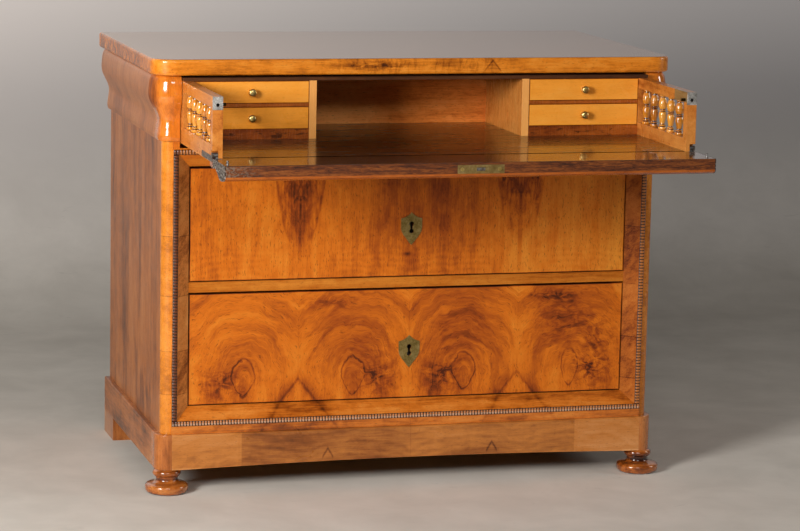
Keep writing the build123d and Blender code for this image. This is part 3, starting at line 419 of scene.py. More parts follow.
def flames(s, across, warped, flow, fibre):
    # A flame over each outer seam: its outline, its dark heart, and the streaks between them
    lift = s.math("DIVIDE", s.take(s.z, FLAME_FOOT), FLAME_HEIGHT)
    half = s.times(s.math("POWER", s.math("MAXIMUM", lift, 0.0001), 0.45), FLAME_HALF)
    out = s.take(across, half)
    outline = s.times(s.bell(out, 0.0026), s.rise(s.z, 0.545, 0.590), 0.18)
    inside = s.times(s.rise(out, 0.002, -0.004), s.rise(s.z, 0.530, 0.575))
    streaks = s.add(0.05, s.times(s.rise(fibre, 0.42, 0.62), 0.16), s.times(s.rise(flow, 0.45, 0.65), 0.08))
    heart_half = s.times(s.math("MAXIMUM", s.take(s.z, HEART_FOOT), 0.0), 0.52)
    heart = s.times(s.rise(s.take(across, heart_half), 0.006, -0.008), s.rise(s.z, 0.600, 0.640))
    heart = s.times(heart, s.add(0.06, s.times(s.rise(fibre, 0.34, 0.62), 0.13)))
    right = s.rise(s.x, 0.0, 0.1)
    heart = s.times(heart, s.take(1.0, s.times(right, 0.4)))
    # The flame on the right is filled by one broad column
    column = s.times(s.rise(warped, 0.050, 0.038), s.rise(s.z, 0.590, 0.670), right)
    sides = s.times(s.rise(warped, 0.006, 0.034), s.rise(fibre, 0.34, 0.60), 0.26)
    column = s.times(column, s.add(0.15, sides))
    tongue = s.times(s.rise(warped, 0.008, 0.001), s.rise(s.z, 0.500, 0.560), s.rise(s.z, 0.66, 0.62), 0.20)
    return s.add(outline, s.times(inside, streaks), heart, column, tongue)


def upper_figure(s):
    # The upper drawer: flames on the outer seams and a reddish middle
    across = leaf(s)
    drift = s.take(s.noise((6.0, 6.0, 4.0), 2.0, 0.5), 0.5)
    warped = s.add(across, s.times(drift, 0.016))
    at = s.vector(warped, s.times(s.x, 0.08), s.z)
    flow = s.noise((120.0, 8.0, 9.0), 4.0, 0.65, 0.4, at)
    fibre = s.noise((60.0, 20.0, 26.0), 5.0, 0.7, 0.7, at)
    flecks = s.noise((90.0, 30.0, 24.0), 3.0, 0.7, 0.8, at)
    flecks = s.times(s.rise(flecks, 0.60, 0.72), s.spot(across, s.take(s.z, 0.560), 0.045, 0.035), 0.38)
    # Contour lines low beside the middle
    hill = s.far(s.times(s.take(across, 0.135), 0.40), s.take(s.z, 0.405))
    wild = s.noise((9.0, 9.0, 9.0), 2.0, 0.5, 0.8, at)
    waves = s.math("SINE", s.add(s.times(hill, 2 * math.pi / 0.014), s.times(wild, 16.0)))
    waves = s.times(waves, s.rise(s.z, 0.560, 0.500), s.rise(across, 0.050, 0.100), 0.035)
    # The middle, with a streak and a small mark under the lock
    middle = s.spot(s.x, s.take(s.z, 0.610), 0.150, 0.110)
    blush = s.times(middle, s.add(0.14, s.times(s.rise(fibre, 0.42, 0.66), 0.08)))
    streak = s.times(s.spot(s.x, s.take(s.z, 0.490), 0.024, 0.034), 0.12)
    mark = s.times(s.spot(s.add(s.x, 0.007), s.take(s.z, 0.514), 0.010, 0.004), 0.34)
    # Painted light: lighter towards the right, where less light reaches the front
    painted_light_right = s.times(s.rise(s.x, 0.10, 0.40), -0.24)
    dark = s.add(flames(s, across, warped, flow, fibre), flecks, waves, blush, streak, mark, painted_light_right)
    return s.add(dark, drawer_rim_and_keyhole_shade(s, "upper_drawer_front"), -0.03), at


PLINTH_STRIP = 0.3875
PLINTH_TOP = 0.131


def base_figure(s):
    # The bottom rail and the plinth: hills, the feet of the roofs, small gables, and a reddish middle
    # between two narrow upright strips
    across = leaf(s)
    hill = s.far(s.times(s.take(across, 0.120), 0.50), s.z)
    twin = s.vector(across, s.times(s.x, 0.08), s.z)
    wild = s.noise((12.0, 12.0, 12.0), 3.0, 0.6, 0.5, twin)
    line = s.vector(0.0, 0.0, s.add(hill, s.times(wild, 0.03)))
    bands = s.rise(s.noise((0.0, 0.0, 42.0), 2.0, 0.5, 0.0, line), 0.42, 0.64)
    small = s.times(gable(s, s.size(s.take(s.size(s.x), 0.189)), 0.088, 1.6, 0.0040, 0.014), 0.26)
    low = s.rise(s.z, PLINTH_TOP + 0.009, PLINTH_TOP - 0.001)
    strip = s.times(s.rise(s.size(s.take(s.size(s.x), PLINTH_STRIP)), 0.0045, 0.0037), low, 0.04)
    red = s.times(s.rise(s.size(s.x), PLINTH_STRIP - 0.0035, PLINTH_STRIP - 0.0045), low, 0.17)
    patch = s.times(s.spot(s.add(s.x, 0.265), s.take(s.z, 0.100), 0.070, 0.022), 0.14)
    worn = s.times(s.rise(s.z, 0.0585, 0.054), s.rise(wild, 0.46, 0.62), -0.30)
    feet = s.times(roofs(s, across), s.rise(s.z, PLINTH_TOP - 0.003, PLINTH_TOP + 0.003), 0.65)
    middle = s.times(s.rise(s.size(s.x), 0.0012, 0.0004), 0.08)
    dark = s.add(s.times(bands, 0.17), feet, small, middle, strip, patch)
    # Painted sheen: the splayed part of the bottom rail is painted lighter, as it faces up into the light
    splay_sheen = s.times(s.rise(s.z, 0.160, 0.166), -0.08)
    return s.add(dark, red, worn, splay_sheen, -0.09), None


# Heights of the joints between cross-grained pieces, and how much darker the wood is above each
JOINTS = ((0.219, 0.09), (0.314, -0.12), (0.435, 0.10), (0.566, -0.09))


def cross_figure(s):
    # Short cross-grained pieces, one above the other, with their joints
    dark = 0.0
    for height, change in JOINTS:
        line = s.rise(s.size(s.take(s.z, height)), 0.0014, 0.0004)
        above = s.rise(s.z, height - 0.0004, height + 0.0004)
        dark = s.add(s.times(line, 0.20), s.times(above, change * 0.7), dark)
    return dark, None


def stile_figure(s):
    # Cross-grained pieces whose grain rises to the right
    dark = cross_figure(s)[0]
    return dark, s.vector(s.x, s.y, s.take(s.z, s.times(s.x, 0.7)))


def band_figure(s):
    # Dark bands that run up the side of the case, blots low on it and one streak higher up
    wander = s.noise((1.5, 1.5, 1.5), 2.0, 0.5, 0.5)
    place = s.vector(0.0, s.add(s.y, s.times(wander, 0.10)), s.z)
    bands = s.noise((0.0, 12.0, 0.9), 3.0, 0.6, 0.4, place)
    mottle = s.noise((0.0, 16.0, 9.0), 3.0, 0.6, 0.6, place)
    blots = s.times(s.rise(mottle, 0.46, 0.66), s.rise(s.z, 0.40, 0.20), 0.20)
    middle = s.add(0.155, s.times(wander, 0.04))
    streak = s.times(s.bell(s.take(s.y, middle), 0.016), s.rise(s.z, 0.25, 0.55), 0.20)
    return s.add(s.times(s.rise(bands, 0.42, 0.68), 0.18), blots, streak), None


def socket_shade(s):
    # Black painted shade inside the socket behind each catch plate
    low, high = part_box("catch_plates")
    side_low, side_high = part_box("secretaire_side_right")
    across = s.take(s.size(s.x), (side_low[0] + side_high[0]) / 2)
    bore = s.rise(s.far(across, s.take(s.z, (low[2] + high[2]) / 2)), 0.0075, 0.0060)
    return s.times(bore, s.rise(s.y, low[1] + 0.060, low[1] + 0.050), 2.0), None


LENS_X = -0.108
EDGE_GABLE_X = 0.165
EDGE_GABLE_Z = 0.944
EDGE_SLOPE = 1.2


def edge_figure(s):
    # Feathered figure along the front edge of the top: a dark lens, and a small gable to the right
    wild = s.noise((30.0, 10.0, 90.0), 4.0, 0.65, 0.8)
    ribs = s.noise((90.0, 10.0, 30.0), 3.0, 0.6, 0.8)
    lens = s.spot(s.take(s.x, LENS_X), s.take(s.z, 0.934), 0.070, 0.010)
    lens = s.times(lens, s.rise(wild, 0.30, 0.58), 0.50)
    middle = s.times(s.rise(s.size(s.x), 0.30, 0.12), s.rise(ribs, 0.46, 0.64), 0.16)
    right = s.size(s.take(s.x, EDGE_GABLE_X))
    roof = s.times(gable(s, right, EDGE_GABLE_Z, EDGE_SLOPE, 0.0030, 0.022), 0.34)
    slant = s.add(s.z, s.times(right, EDGE_SLOPE))
    fill = s.times(s.rise(slant, EDGE_GABLE_Z, EDGE_GABLE_Z - 0.006), s.rise(right, 0.022, 0.018), 0.12)
    return s.add(lens, middle, roof, fill), None


def nest_painted_light(s):
    # Painted light on the back of the open nest: painted brighter, most on the left, where the top board and
    # a partition shade it, and less towards the right, where more light reaches it
    return s.add(s.times(s.rise(s.x, -0.22, 0.16), 0.44), -0.46), None


FOOT_NECK = 0.0318


def foot_neck_and_shaded_base(s):
    # Darker in the neck of the turned feet, and painted shade along their base
    neck = s.bell(s.take(s.z, FOOT_NECK), 0.0035)
    base = s.rise(s.z, 0.006, 0.000)
    return s.add(s.times(neck, 0.35), s.times(base, 0.3), 0.06), None


def bordered(node):
    # A figure that is only a dark border around a node's front: painted shade of the gap around it, and dirt
    def figure(s):
        return s.times(rim(s, node, 0.0020), 1.2), None

    return figure


finishes = {
    "corner_posts": wood("veneer_posts", "x", GOLD, cross_figure, contrast=0.8, cloud=0.6, gloss=0.26),
    "frame_top_rail": wood(
        "veneer_top_rail", "x", ORANGE, contrast=0.9, cloud=0.9, gloss=0.4, coat=0.1, seed=4.0),
    "frame_bottom_rail": wood("veneer_bottom_rail", "x", RAIL, base_figure, contrast=1.3, cloud=1.1),
    "frame_stile_left": wood(
        "veneer_stile_left", "x", CROSSED, stile_figure, contrast=1.3, gloss=0.40, coat=0.1),
    "frame_stile_right": wood(
        "veneer_stile_right", "x", STILE, stile_figure, contrast=1.2, gloss=0.50, coat=0.0, level=0.1),
    "divider_rail": wood(
        "veneer_divider", "x", YELLOW, contrast=1.2, gloss=0.40, coat=0.0, seed=2.0, level=0.15),
    "upper_drawer_front": wood(
        "veneer_upper_front", "z", ORANGE, upper_figure, contrast=0.9, cloud=0.8, gloss=0.40, coat=0.1,
        pore=0.65, level=0.22),
    "lower_drawer_front": wood(
        "veneer_lower_front", "z", ORANGE, lower_figure, contrast=0.8, cloud=1.1, gloss=0.40, coat=0.1,
        pore=0.6, level=0.22),
    "plinth_front": wood("veneer_plinth", "x", BROWN, base_figure, contrast=0.6, cloud=0.8),
    "plinth_corners": wood(
        "veneer_plinth_corners", "z", CORNER, contrast=0.9, cloud=0.9, gloss=0.26, seed=6.0),
    "plinth_boards": wood(
        "veneer_plinth_sides", "y", SIDE, contrast=1.6, cloud=1.6, gloss=0.34, coat=0.1, seed=7.0,
        level=0.25),
    "bun_feet": wood(
        "turned_feet", "x", FEET, foot_neck_and_shaded_base, contrast=1.7, cloud=1.2, gloss=0.16, coat=0.8, seed=8.0),
    "rear_feet": wood("rear_feet_wood", "z", SIDE, contrast=0.9, cloud=0.9, seed=9.0),
    "secretaire_back": wood(
        "nest_back_wood", "x", GLOWING, nest_painted_light, contrast=1.1, gloss=0.5, coat=0.0, seed=14.0, level=0.1),
    # The nest's top takes the dark tones as painted shade under the top board
    "nest_top": wood("nest_top_wood", "x", DARK, contrast=0.9, cloud=0.8, gloss=0.5, coat=0.0, seed=16.0),
    "catch_covers": wood("catch_cover_wood", "y", OLIVE, contrast=1.2, cloud=0.8, seed=17.0),
}
for side, seed in (("left", 12.0), ("right", 13.0)):
    finishes[f"side_panel_{side}"] = wood(
        f"veneer_side_{side}", "z", SIDE, band_figure, contrast=0.9, cloud=0.8, gloss=0.36, coat=0.10,
        level=0.25)
    finishes[f"secretaire_side_{side}"] = wood(
        f"gallery_side_{side}", "y", INNER, socket_shade, contrast=1.1, gloss=0.28, coat=0.2, seed=seed,
        level=0.2)
for level in ("lower", "upper"):
    for side, seed in (("left", 20.0), ("right", 22.0)):
        node = f"small_drawer_{level}_{side}"
        finishes[node] = wood(
            f"maple_{level}_{side}", "x", MAPLE, bordered(node), contrast=0.55, cloud=0.9, gloss=0.26,
            coat=0.3, seed=seed, pore=0.15)
plain_wood = wood("plain_case_wood", "y", PLAIN, contrast=0.9, cloud=0.9, gloss=0.6, coat=0.0, seed=30.0)
for node in ("back_panel", "dust_boards", "drawer_guides", "secretaire_guides", "upper_drawer_box",
             "lower_drawer_box"):
    finishes[node] = plain_wood


def frieze_finish():
    # The frieze along each side, as orange at its front end as the cushion beside it
    s = Shader("veneer_side_frieze")
    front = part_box("side_friezes")[0][1]
    colour, height = grained(s, "z", SIDE, seed=1.5, contrast=0.9, cloud=0.8)
    end = grained(s, "z", CUSHION, 0.22, seed=3.0, contrast=0.9, cloud=0.7)[0]
    colour = s.mix(s.rise(s.y, front + 0.0016, front + 0.0006), colour, end)
    s.relief(height, 0.10, 0.0004)
    return s.finish(colour, 0.34, coat=0.10, level=0.25)


def cushion_finish(side, seed):
    # A turned cushion, redder and duller towards its outer side, where it turns away from the light; the
    # darker red there is painted shade
    s = Shader(f"veneer_cushion_{side}")
    low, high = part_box(f"corner_cushion_{side}")
    reach = max(abs(low[0]), abs(high[0]))
    outer = s.rise(s.size(s.x), reach - 0.016, reach - 0.003)
    # Painted shade towards the outer side
    dark = s.times(outer, 0.30)
    colour, height = grained(s, "z", CUSHION, dark, seed=seed, contrast=0.9, cloud=0.7, pore=0.25)
    s.relief(height, 0.10, 0.0004, EDGE_ROUND)
    coat = s.times(s.take(1.0, outer), 0.6)
    return s.finish(colour, s.add(0.12, s.times(outer, 0.5)), coat=coat, coat_rough=0.09, level=0.3)


def top_finish():
    # The top is dark and polished above, golden along its moulded edge and duller on its left edge
    s = Shader("veneer_top")
    low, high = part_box("top_board")
    flank = s.rise(s.x, low[0] + 0.0065, low[0] + 0.0015)
    dark = s.add(edge_figure(s)[0], s.times(flank, 0.22))
    edge, height = grained(s, "x", EDGE, dark, seed=2.0, contrast=1.1, cloud=0.9)
    upper = grained(s, "x", TOP, seed=4.0, contrast=0.6, cloud=0.9)[0]
    above = s.rise(s.z, high[2] - 0.0012, high[2] - 0.0002)
    beside = s.take(1.0, above)
    dust = s.noise((1.5, 40.0, 5.0), 3.0, 0.6, 0.3)
    s.relief(s.times(height, beside), 0.08, 0.0004, EDGE_ROUND)
    coat = s.take(0.42, s.add(s.times(above, 0.02), s.times(flank, beside, 0.36)))
    coat_rough = s.add(0.07, s.times(dust, 0.04))
    return s.finish(s.mix(above, edge, upper), 0.26, coat=coat, coat_rough=coat_rough, level=0.38)


def writing_finish():
    # The writing surface: dark and polished, with fine pale scratches and a dark joint along its front
    s = Shader("veneer_writing")
    colour, height = grained(s, "x", DARK, seed=11.0, contrast=1.2, pore=0.3)
    scratch = s.noise((30.0, 420.0, 30.0), 3.0, 0.7, 0.6)
    colour = s.mix(s.times(s.rise(scratch, 0.64, 0.72), 0.30), colour, "8a6440")
    smear = s.noise((9.0, 22.0, 9.0), 4.0, 0.65, 0.6)
    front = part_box("writing_board")[0][1]
    joint = s.rise(s.y, front + 0.0100, front + 0.0080)
    colour = s.mix(joint, colour, "080402")
    s.relief(height, 0.06, 0.0003, 0.0008)
    # Darker and duller towards the nest
    deep = s.rise(s.y, front + 0.14, front + 0.24)
    colour = s.mix(s.times(deep, 0.35), colour, "0c0502")
    shine = s.times(s.take(1.0, joint), s.take(1.0, s.times(deep, 0.30)))
    rough = s.add(0.16, s.times(smear, 0.20))
    coat_rough = s.add(0.01, s.times(smear, 0.09))
    coat, level = s.times(shine, 0.50), s.times(shine, 0.4)
    return s.finish(colour, rough, coat=coat, coat_rough=coat_rough, level=level)


def fall_finish():
    # The fall: dark inside, chipped and worn along its upper edge, veneered on its moulded face
    s = Shader("veneer_fall")
    low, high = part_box("fall_front")
    inner, height = grained(s, "x", DARK, seed=10.0, contrast=1.2, pore=0.3)
    face = grained(s, "x", RED, seed=11.0, contrast=0.7, cloud=0.8)[0]
    chips = s.noise((60.0, 90.0, 380.0), 5.0, 0.75, 0.8)
    coarse = s.noise((9.0, 40.0, 140.0), 3.0, 0.6, 0.6)
    stops = [(0.36, "200c04"), (0.46, "4c2209"), (0.54, "70380f"), (0.63, "884c1b"), (0.76, "9a7042")]
    worn = s.ramp(s.add(s.times(chips, 0.6), s.times(coarse, 0.4)), stops)
    # Grey specks at the left end, next to its metal plate
    left = s.rise(s.x, low[0] + 0.09, low[0] + 0.01)
    specks = s.noise((160.0, 200.0, 200.0), 3.0, 0.7, 0.5)
    worn = s.mix(s.times(left, s.rise(specks, 0.48, 0.58), 0.8), worn, "726658")
    at_front = s.rise(s.y, low[1] + 0.0030, low[1] + 0.0004)
    at_edge = s.times(at_front, s.rise(s.z, high[2] - 0.0245, high[2] - 0.0215))
    above = s.rise(s.z, high[2] - 0.0016, high[2] - 0.0004)
    colour = s.mix(above, s.mix(at_edge, face, worn), inner)
    s.relief(s.add(height, s.times(chips, at_edge, 2.0)), 0.25, 0.0006, EDGE_ROUND)
    rough = s.add(0.16, s.times(at_edge, 0.40), s.times(chips, 0.10))
    return s.finish(colour, rough, coat=s.take(0.60, s.times(at_edge, 0.55)), coat_rough=0.06, level=0.3)


PARTITION_X = 0.248


def nest_finish():
    # The nest: tan partitions with upright grain and pale front edges, and redder rails at the small
    # drawers, the lowest darker and blotted
    s = Shader("nest_frame_wood")
    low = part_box("nest_frame")[0]
    tan, height = grained(s, "z", INNER, -0.10, seed=15.0, contrast=1.3, cloud=0.7)
    higher = s.rise(s.z, low[2] + 0.030, low[2] + 0.034)
    dark = s.add(0.12, s.times(higher, -0.10))
    rail, ridges = grained(s, "x", RED, dark, seed=16.0, contrast=0.7, cloud=0.9)
    blots = s.noise((30.0, 30.0, 120.0), 4.0, 0.7, 0.6)
    rail = s.mix(s.times(s.rise(blots, 0.55, 0.62), s.take(1.0, higher), 0.7), rail, "160a05")
    outer = s.rise(s.size(s.x), PARTITION_X - 0.0002, PARTITION_X + 0.0002)
    lip = s.rise(s.y, low[1] + 0.0012, low[1] + 0.0004)
    colour = s.mix(outer, s.mix(s.times(lip, 0.8), tan, "f6ac5c"), rail)
    s.relief(s.add(s.times(height, s.take(1.0, outer)), s.times(ridges, outer)), 0.10, 0.0004, 0.0010)
    return s.finish(colour, s.add(0.26, s.times(height, 0.05)), coat=0.4, level=0.4)


finishes["side_friezes"] = frieze_finish()
for side, seed in (("left", 3.0), ("right", 5.0)):
    finishes[f"corner_cushion_{side}"] = cushion_finish(side, seed)
finishes["top_board"] = top_finish()
finishes["writing_board"] = writing_finish()
finishes["fall_front"] = fall_finish()
finishes["nest_frame"] = nest_finish()


# Metals

def metal(name, tones, rough, patchy=0.5, grain=(300.0, 300.0, 300.0), stain=None, black=None, spread=0.20,
          share=1.0):
    # Old metal: a patchy tarnish and fine scratches. share is how metallic it is, stain is the colour
    # of its spots, and black gives how black each place is.
    s = Shader(name)
    patch = s.noise((60.0, 60.0, 60.0), 4.0, 0.6, 0.5)
    fine = s.noise(grain, 2.0, 0.6)
    stops = [(0.5 - spread, tones[0]), (0.5, tones[1]), (0.5 + spread, tones[2])]
    colour = s.ramp(s.add(s.times(patch, patchy), s.times(fine, 1.0 - patchy)), stops)
    if stain:
        spots = s.rise(s.noise((150.0, 150.0, 150.0), 4.0, 0.7, 0.4), 0.50, 0.58)
        colour = s.mix(spots, colour, stain)
        share = s.take(share, s.times(spots, 0.8))
    if black:
        colour = s.mix(black(s), colour, "060302")
    s.relief(fine, 0.15, 0.0003, 0.0006)
    return s.finish(colour, s.add(rough, s.times(patch, 0.20)), share)


def bored(level):
    # Painted shade, black, on the walls of an escutcheon's keyhole, but not on the escutcheon's outer edges
    low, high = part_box(f"{level}_escutcheon")
    middle = (low[2] + high[2]) / 2

    def black(s):
        behind = s.rise(s.y, low[1] + 0.0001, low[1] + 0.0004)
        up = s.size(s.take(s.z, middle))
        return s.times(behind, s.rise(s.size(s.x), 0.012, 0.010), s.rise(up, 0.022, 0.018))

    return black


def painted_shade_right(s):
    # Painted shade: the plate on the fall's right end is darker than the one on its left end, as it lies in
    # the shade
    return s.rise(s.x, -0.2, 1.0)


old_brass = metal("old_brass", ("755a2c", "a08650", "bfa672"), 0.42, patchy=0.6)
knob_brass = metal("knob_brass", ("b08c48", "dcbc6c", "f0dca0"), 0.26)
grey_steel = metal("grey_steel", ("4c4946", "8b8783", "c4c0ba"), 0.34,
                   grain=(900.0, 40.0, 900.0), stain="4a3a2c")
bright_steel = metal("bright_steel", ("7c7872", "b4b0aa", "e4e0da"), 0.34, patchy=0.6,
                     grain=(500.0, 90.0, 500.0), spread=0.12, share=0.6)
worn_shaded_steel = metal("worn_shaded_end_plate", ("2c221a", "6e6259", "c8c2ba"), 0.50, patchy=0.15,
                   grain=(210.0, 210.0, 210.0), black=painted_shade_right, spread=0.09)
dark_metal = metal("dark_metal", ("1c1408", "33260f", "4e3c1c"), 0.35)
for level in ("lower", "upper"):
    finishes[f"{level}_escutcheon"] = metal(
        f"escutcheon_{level}", ("75602e", "9c864e", "bca670"), 0.40, patchy=0.6, black=bored(level))
    finishes[f"{level}_drawer_lock"] = grey_steel
    finishes[f"{level}_drawer_bolt"] = grey_steel
    for side in ("left", "right"):
        finishes[f"small_knob_{level}_{side}"] = knob_brass
for node in ("hinge_straps", "fall_hinge_leaves", "striker_studs", "fall_bolt"):
    finishes[node] = grey_steel
finishes["fall_end_plates"] = worn_shaded_steel
finishes["catch_plates"] = bright_steel
finishes["fall_lock"] = old_brass
finishes["lock_plate_screws"] = knob_brass
for node in ("catch_button_left", "catch_button_right"):
    finishes[node] = dark_metal

for node, material in finishes.items():
    nodes[node].data.materials.clear()
    nodes[node].data.materials.append(material)


# Pieces of the scene's own

def smooth_object(name, mesh, material):
    # A smooth object from a bmesh
    data = bpy.data.meshes.new(name)
    mesh.to_mesh(data)
    mesh.free()
    for face in data.polygons:
        face.use_smooth = True
    data.materials.append(material)
    obj = bpy.data.objects.new(name, data)
    bpy.context.scene.collection.objects.link(obj)
    return obj


def piece(name, build, material, body, replaced):
    # An object that build makes, in the row frame, and that rides on a body in place of a node
    mesh = bmesh.new()
    build(mesh)
    bmesh.ops.recalc_face_normals(mesh, faces=mesh.faces)
    obj = smooth_object(name, mesh, material)
    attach(obj, body)
    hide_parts(replaced)


# Ripple moulding: ridges cut close together across each strip

RIDGE_PITCH = 0.0066
STRIP_WIDTH = 0.0115
RIDGE_SWELL = (0.25, 0.80, 1.0, 0.80)
ROUND_STEPS = 8
strip_low, strip_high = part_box("ripple_moulding")


def ridged(mesh, start, forward, sideways, length):
    # One strip from start, along forward, and sideways over its width; it stands out to -y
    steps = round(length / RIDGE_PITCH) * len(RIDGE_SWELL)
    rings = []
    for k in range(steps + 1):
        foot = start + forward * (length * k / steps)
        proud = (strip_high[1] - strip_low[1]) * RIDGE_SWELL[k % len(RIDGE_SWELL)]
        ring = []
        for j in range(ROUND_STEPS + 1):
            turn = math.pi * j / ROUND_STEPS
            across = sideways * (STRIP_WIDTH * (1 - math.cos(turn)) / 2)
            rise = Vector((0, proud * math.sin(turn) ** 0.8, 0))
            ring.append(mesh.verts.new(foot + across - rise))
        rings.append(ring)
    for a, b in zip(rings, rings[1:]):
        for j in range(ROUND_STEPS):
            mesh.faces.new((a[j], b[j], b[j + 1], a[j + 1]))
        mesh.faces.new((a[-1], b[-1], b[0], a[0]))
    mesh.faces.new(rings[0])
    mesh.faces.new(list(reversed(rings[-1])))


def ripples(mesh):
    right, up = Vector((1, 0, 0)), Vector((0, 0, 1))
    back = strip_high[1]
    left_x, right_x = strip_low[0], strip_high[0] - STRIP_WIDTH
    for z in (strip_low[2], strip_high[2] - STRIP_WIDTH):
        ridged(mesh, Vector((left_x, back, z)), right, up, strip_high[0] - left_x)
    for x in (left_x, right_x):
        height = strip_high[2] - strip_low[2] - 2 * STRIP_WIDTH
        ridged(mesh, Vector((x, back, strip_low[2] + STRIP_WIDTH)), up, right, height)


def ripple_finish():
    # Painted shade in the cuts and orange on the ridges, with painted shade on the left strip and a painted
    # highlight low on the bottom strip
    s = Shader("ripple_wood")
    lift = s.rise(s.y, strip_high[1] - 0.0010, strip_low[1] + 0.0006)
    fine = s.noise((220.0, 220.0, 220.0), 2.0)
    inner_edge = strip_low[0] + STRIP_WIDTH
    # The left strip is painted darker: painted shade
    ridge = s.mix(s.rise(s.x, inner_edge + 0.0005, inner_edge - 0.0010), "bc7030", "6a3414")
    # A painted highlight, pale, low on the bottom strip
    low = s.rise(s.z, strip_low[2] + 0.0075, strip_low[2] + 0.0045)
    ridge = s.mix(s.times(low, 0.42), ridge, "d8c6b2")
    # Painted shade, dark, in the cuts between the ridges
    colour = s.mix(s.times(lift, s.add(0.50, s.times(fine, 0.8))), "220e04", ridge)
    return s.finish(colour, 0.38, coat=0.30, coat_rough=0.25, level=0.4)


piece("ripple_ridges", ripples, ripple_finish(), "carcass", "ripple_moulding")

# Turned balusters with a rounded outline, whose points are shares of the radius and of the height

TURNING = (
    (0.92, 0.00), (0.97, 0.035), (0.90, 0.07), (0.68, 0.09), (0.82, 0.12), (0.58, 0.155), (0.64, 0.22),
    (0.84, 0.33), (0.90, 0.41), (0.82, 0.48), (0.66, 0.525), (0.92, 0.55), (0.66, 0.575), (0.88, 0.63),
    (1.00, 0.72), (0.90, 0.82), (0.60, 0.93), (0.72, 0.965), (0.62, 1.00),
)
GROOVES = [
    height for (before, _), (radius, height), (after, _) in zip(TURNING, TURNING[1:], TURNING[2:])
    if radius < before and radius < after
]
BALUSTERS = 5


def rounded(points, steps):
    # Points on a smooth line through the given ones
    out = []
    for i in range(len(points) - 1):
        p0, p1 = points[max(i - 1, 0)], points[i]
        p2, p3 = points[i + 1], points[min(i + 2, len(points) - 1)]
        for k in range(steps):
            t = k / steps
            out.append([
                0.5 * (2 * b + (c - a) * t + (2 * a - 5 * b + 4 * c - d) * t * t
                       + (3 * b - a - 3 * c + d) * t ** 3)
                for a, b, c, d in zip(p0, p1, p2, p3)
            ])
    out.append(list(points[-1]))
    return out


def lathe(mesh, outline, centre, segments=32):
    # A solid turned about an upright axis, from its outline of radius and height
    rings = []
    for radius, height in outline:
        turns = [2 * math.pi * k / segments for k in range(segments)]
        rings.append([
            mesh.verts.new((centre[0] + radius * math.cos(t), centre[1] + radius * math.sin(t), height))
            for t in turns
        ])
    for below, above in zip(rings, rings[1:]):
        for k in range(segments):
            after = (k + 1) % segments
            mesh.faces.new((below[k], below[after], above[after], above[k]))
    mesh.faces.new(list(reversed(rings[0])))
    mesh.faces.new(rings[-1])


def turned_finish(side):
    # Polished turned wood, dark in its grooves
    s = Shader(f"turned_wood_{side}")
    low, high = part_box(f"balusters_{side}")
    share = s.math("DIVIDE", s.take(s.z, low[2]), high[2] - low[2])
    dark = 0.0
    for groove in GROOVES:
        dark = s.add(s.times(s.bell(s.take(share, groove), 0.013), 0.75), dark)
    colour, height = grained(s, "z", TURNED, dark, seed=18.0, contrast=0.8, cloud=0.8)
    s.relief(height, 0.08, 0.0004)
    return s.finish(colour, 0.16, coat=1.0, coat_rough=0.08, level=0.4)


def add_balusters(side):
    # The row of balusters in one side of the secretaire drawer
    low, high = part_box(f"balusters_{side}")
    radius = (high[0] - low[0]) / 2
    height = high[2] - low[2]
    outline = [(min(r, 1.0) * radius, low[2] + h * height) for r, h in rounded(TURNING, 3)]
    step = (high[1] - low[1] - 2 * radius) / (BALUSTERS - 1)

    def row(mesh):
        for k in range(BALUSTERS):
            lathe(mesh, outline, (low[0] + radius, low[1] + radius + step * k))

    name, node = f"turned_balusters_{side}", f"balusters_{side}"
    piece(name, row, turned_finish(side), "secretaire_drawer", node)


for side in ("left", "right"):
    add_balusters(side)


# Stage: a floor that sweeps up into a backdrop

FLOOR_NEAR = -6.0
FLOOR_FAR = 1.7
SWEEP_RADIUS = 1.4
SWEEP_STEPS = 12
WALL_TOP = 6.0
HALF_WIDTH = 9.0


def sweep(mesh):
    # Flat, then a quarter turn upwards, then upright
    line = [(FLOOR_NEAR, 0.0), (FLOOR_FAR, 0.0)]
    for k in range(1, SWEEP_STEPS + 1):
        turn = math.radians(90 * k / SWEEP_STEPS)
        line.append((FLOOR_FAR + SWEEP_RADIUS * math.sin(turn), SWEEP_RADIUS * (1 - math.cos(turn))))
    line.append((FLOOR_FAR + SWEEP_RADIUS, WALL_TOP))
    rows = [[mesh.verts.new((x, y, z)) for x in (-HALF_WIDTH, HALF_WIDTH)] for y, z in line]
    for a, b in zip(rows, rows[1:]):
        mesh.faces.new((a[0], a[1], b[1], b[0]))


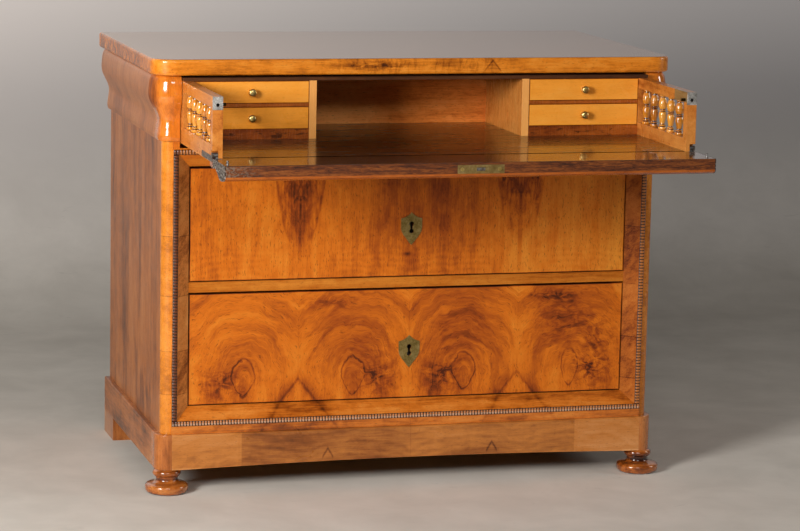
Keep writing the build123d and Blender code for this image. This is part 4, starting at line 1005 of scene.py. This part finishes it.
def sweep_finish():
    # Warm grey paint with faint marks on the floor; the wall has painted shade towards the right, and the
    # backdrop glows with painted light
    s = Shader("studio_sweep")
    mottle = s.noise((5.0, 5.0, 5.0), 5.0, 0.6, 0.3)
    marks = s.noise((9.0, 26.0, 9.0), 5.0, 0.7, 1.2)
    floor = s.ramp(mottle, [(0.3, "cec6ba"), (0.5, "d6cec2"), (0.7, "ded6ca")])
    floor = s.mix(s.times(s.rise(marks, 0.62, 0.74), 0.25), floor, "9a9288")
    # Painted shade: the wall darkens towards the right, where less light falls
    wall = s.ramp(s.rise(s.x, -2.2, 2.2), [(0.0, "aea8a4"), (1.0, "706c6a")])
    colour = s.mix(s.rise(s.z, 0.02, 0.6), floor, wall)
    # Painted light: what the camera and the polish see of the backdrop glows, brighter upwards and to the
    # left
    light_path = s.new("ShaderNodeLightPath").outputs
    seen = s.math("MAXIMUM", light_path["Is Camera Ray"], light_path["Is Glossy Ray"])
    across = s.rise(s.x, 2.6, -2.2)
    low = s.times(s.rise(s.z, 0.00, 0.22), 0.085)
    middle = s.times(s.rise(s.z, 0.20, 1.3), 0.38)
    high = s.times(s.rise(s.z, 0.9, 2.0), 0.32)
    glow = s.times(s.add(low, middle, high), s.add(0.60, s.times(across, 0.9)))
    s.put(s.mix(across, "f4ece8", "fff0e4"), s.surface.inputs["Emission Color"])
    s.put(s.times(seen, glow), s.surface.inputs["Emission Strength"])
    # Clear from behind, so that it doesn't hide the back of the chest from other views
    behind = s.new("ShaderNodeNewGeometry").outputs["Backfacing"]
    s.put(s.take(1.0, behind), s.surface.inputs["Alpha"])
    return s.finish(colour, 0.85, level=0.2)


stage_mesh = bmesh.new()
sweep(stage_mesh)
smooth_object("studio_sweep", stage_mesh, sweep_finish())


# Light and camera

def softbox(name, place, target, size, power):
    # A rectangular lamp that faces a target; its power is in watts
    data = bpy.data.lights.new(name, "AREA")
    data.shape = "RECTANGLE"
    data.size, data.size_y = size
    data.energy = power
    obj = bpy.data.objects.new(name, data)
    bpy.context.scene.collection.objects.link(obj)
    obj.location = place
    obj.rotation_euler = (Vector(target) - Vector(place)).to_track_quat("-Z", "Y").to_euler()


softbox("key_softbox", place=(-3.1, -2.5, 1.65), target=(-0.1, 0.0, 0.5), size=(1.0, 1.1), power=165)
softbox("front_softbox", place=(-0.9, -6.0, 3.1), target=(0.0, 0.0, 0.5), size=(2.4, 0.9), power=82)
softbox("right_softbox", place=(3.4, -0.9, 1.5), target=(0.4, 0.0, 0.6), size=(0.5, 1.1), power=22)

world = bpy.data.worlds.new("studio")
bpy.context.scene.world = world
world.use_nodes = True
background = world.node_tree.nodes["Background"].inputs
background["Color"].default_value = (1.0, 0.98, 0.96, 1.0)
background["Strength"].default_value = 0.04

# The camera's place, turn and lens are fitted to the chest's edges in the photograph
camera_data = bpy.data.cameras.new("camera")
camera_data.sensor_width = 36.0
camera_data.lens = 133.054
camera = bpy.data.objects.new("camera", camera_data)
bpy.context.scene.collection.objects.link(camera)
camera.location = (-1.76098, -6.27884, 1.54885)
camera.rotation_euler = (1.40736465, -0.02004238, -0.26987027)
bpy.context.scene.camera = camera
bpy.context.scene.view_settings.view_transform = "Standard"
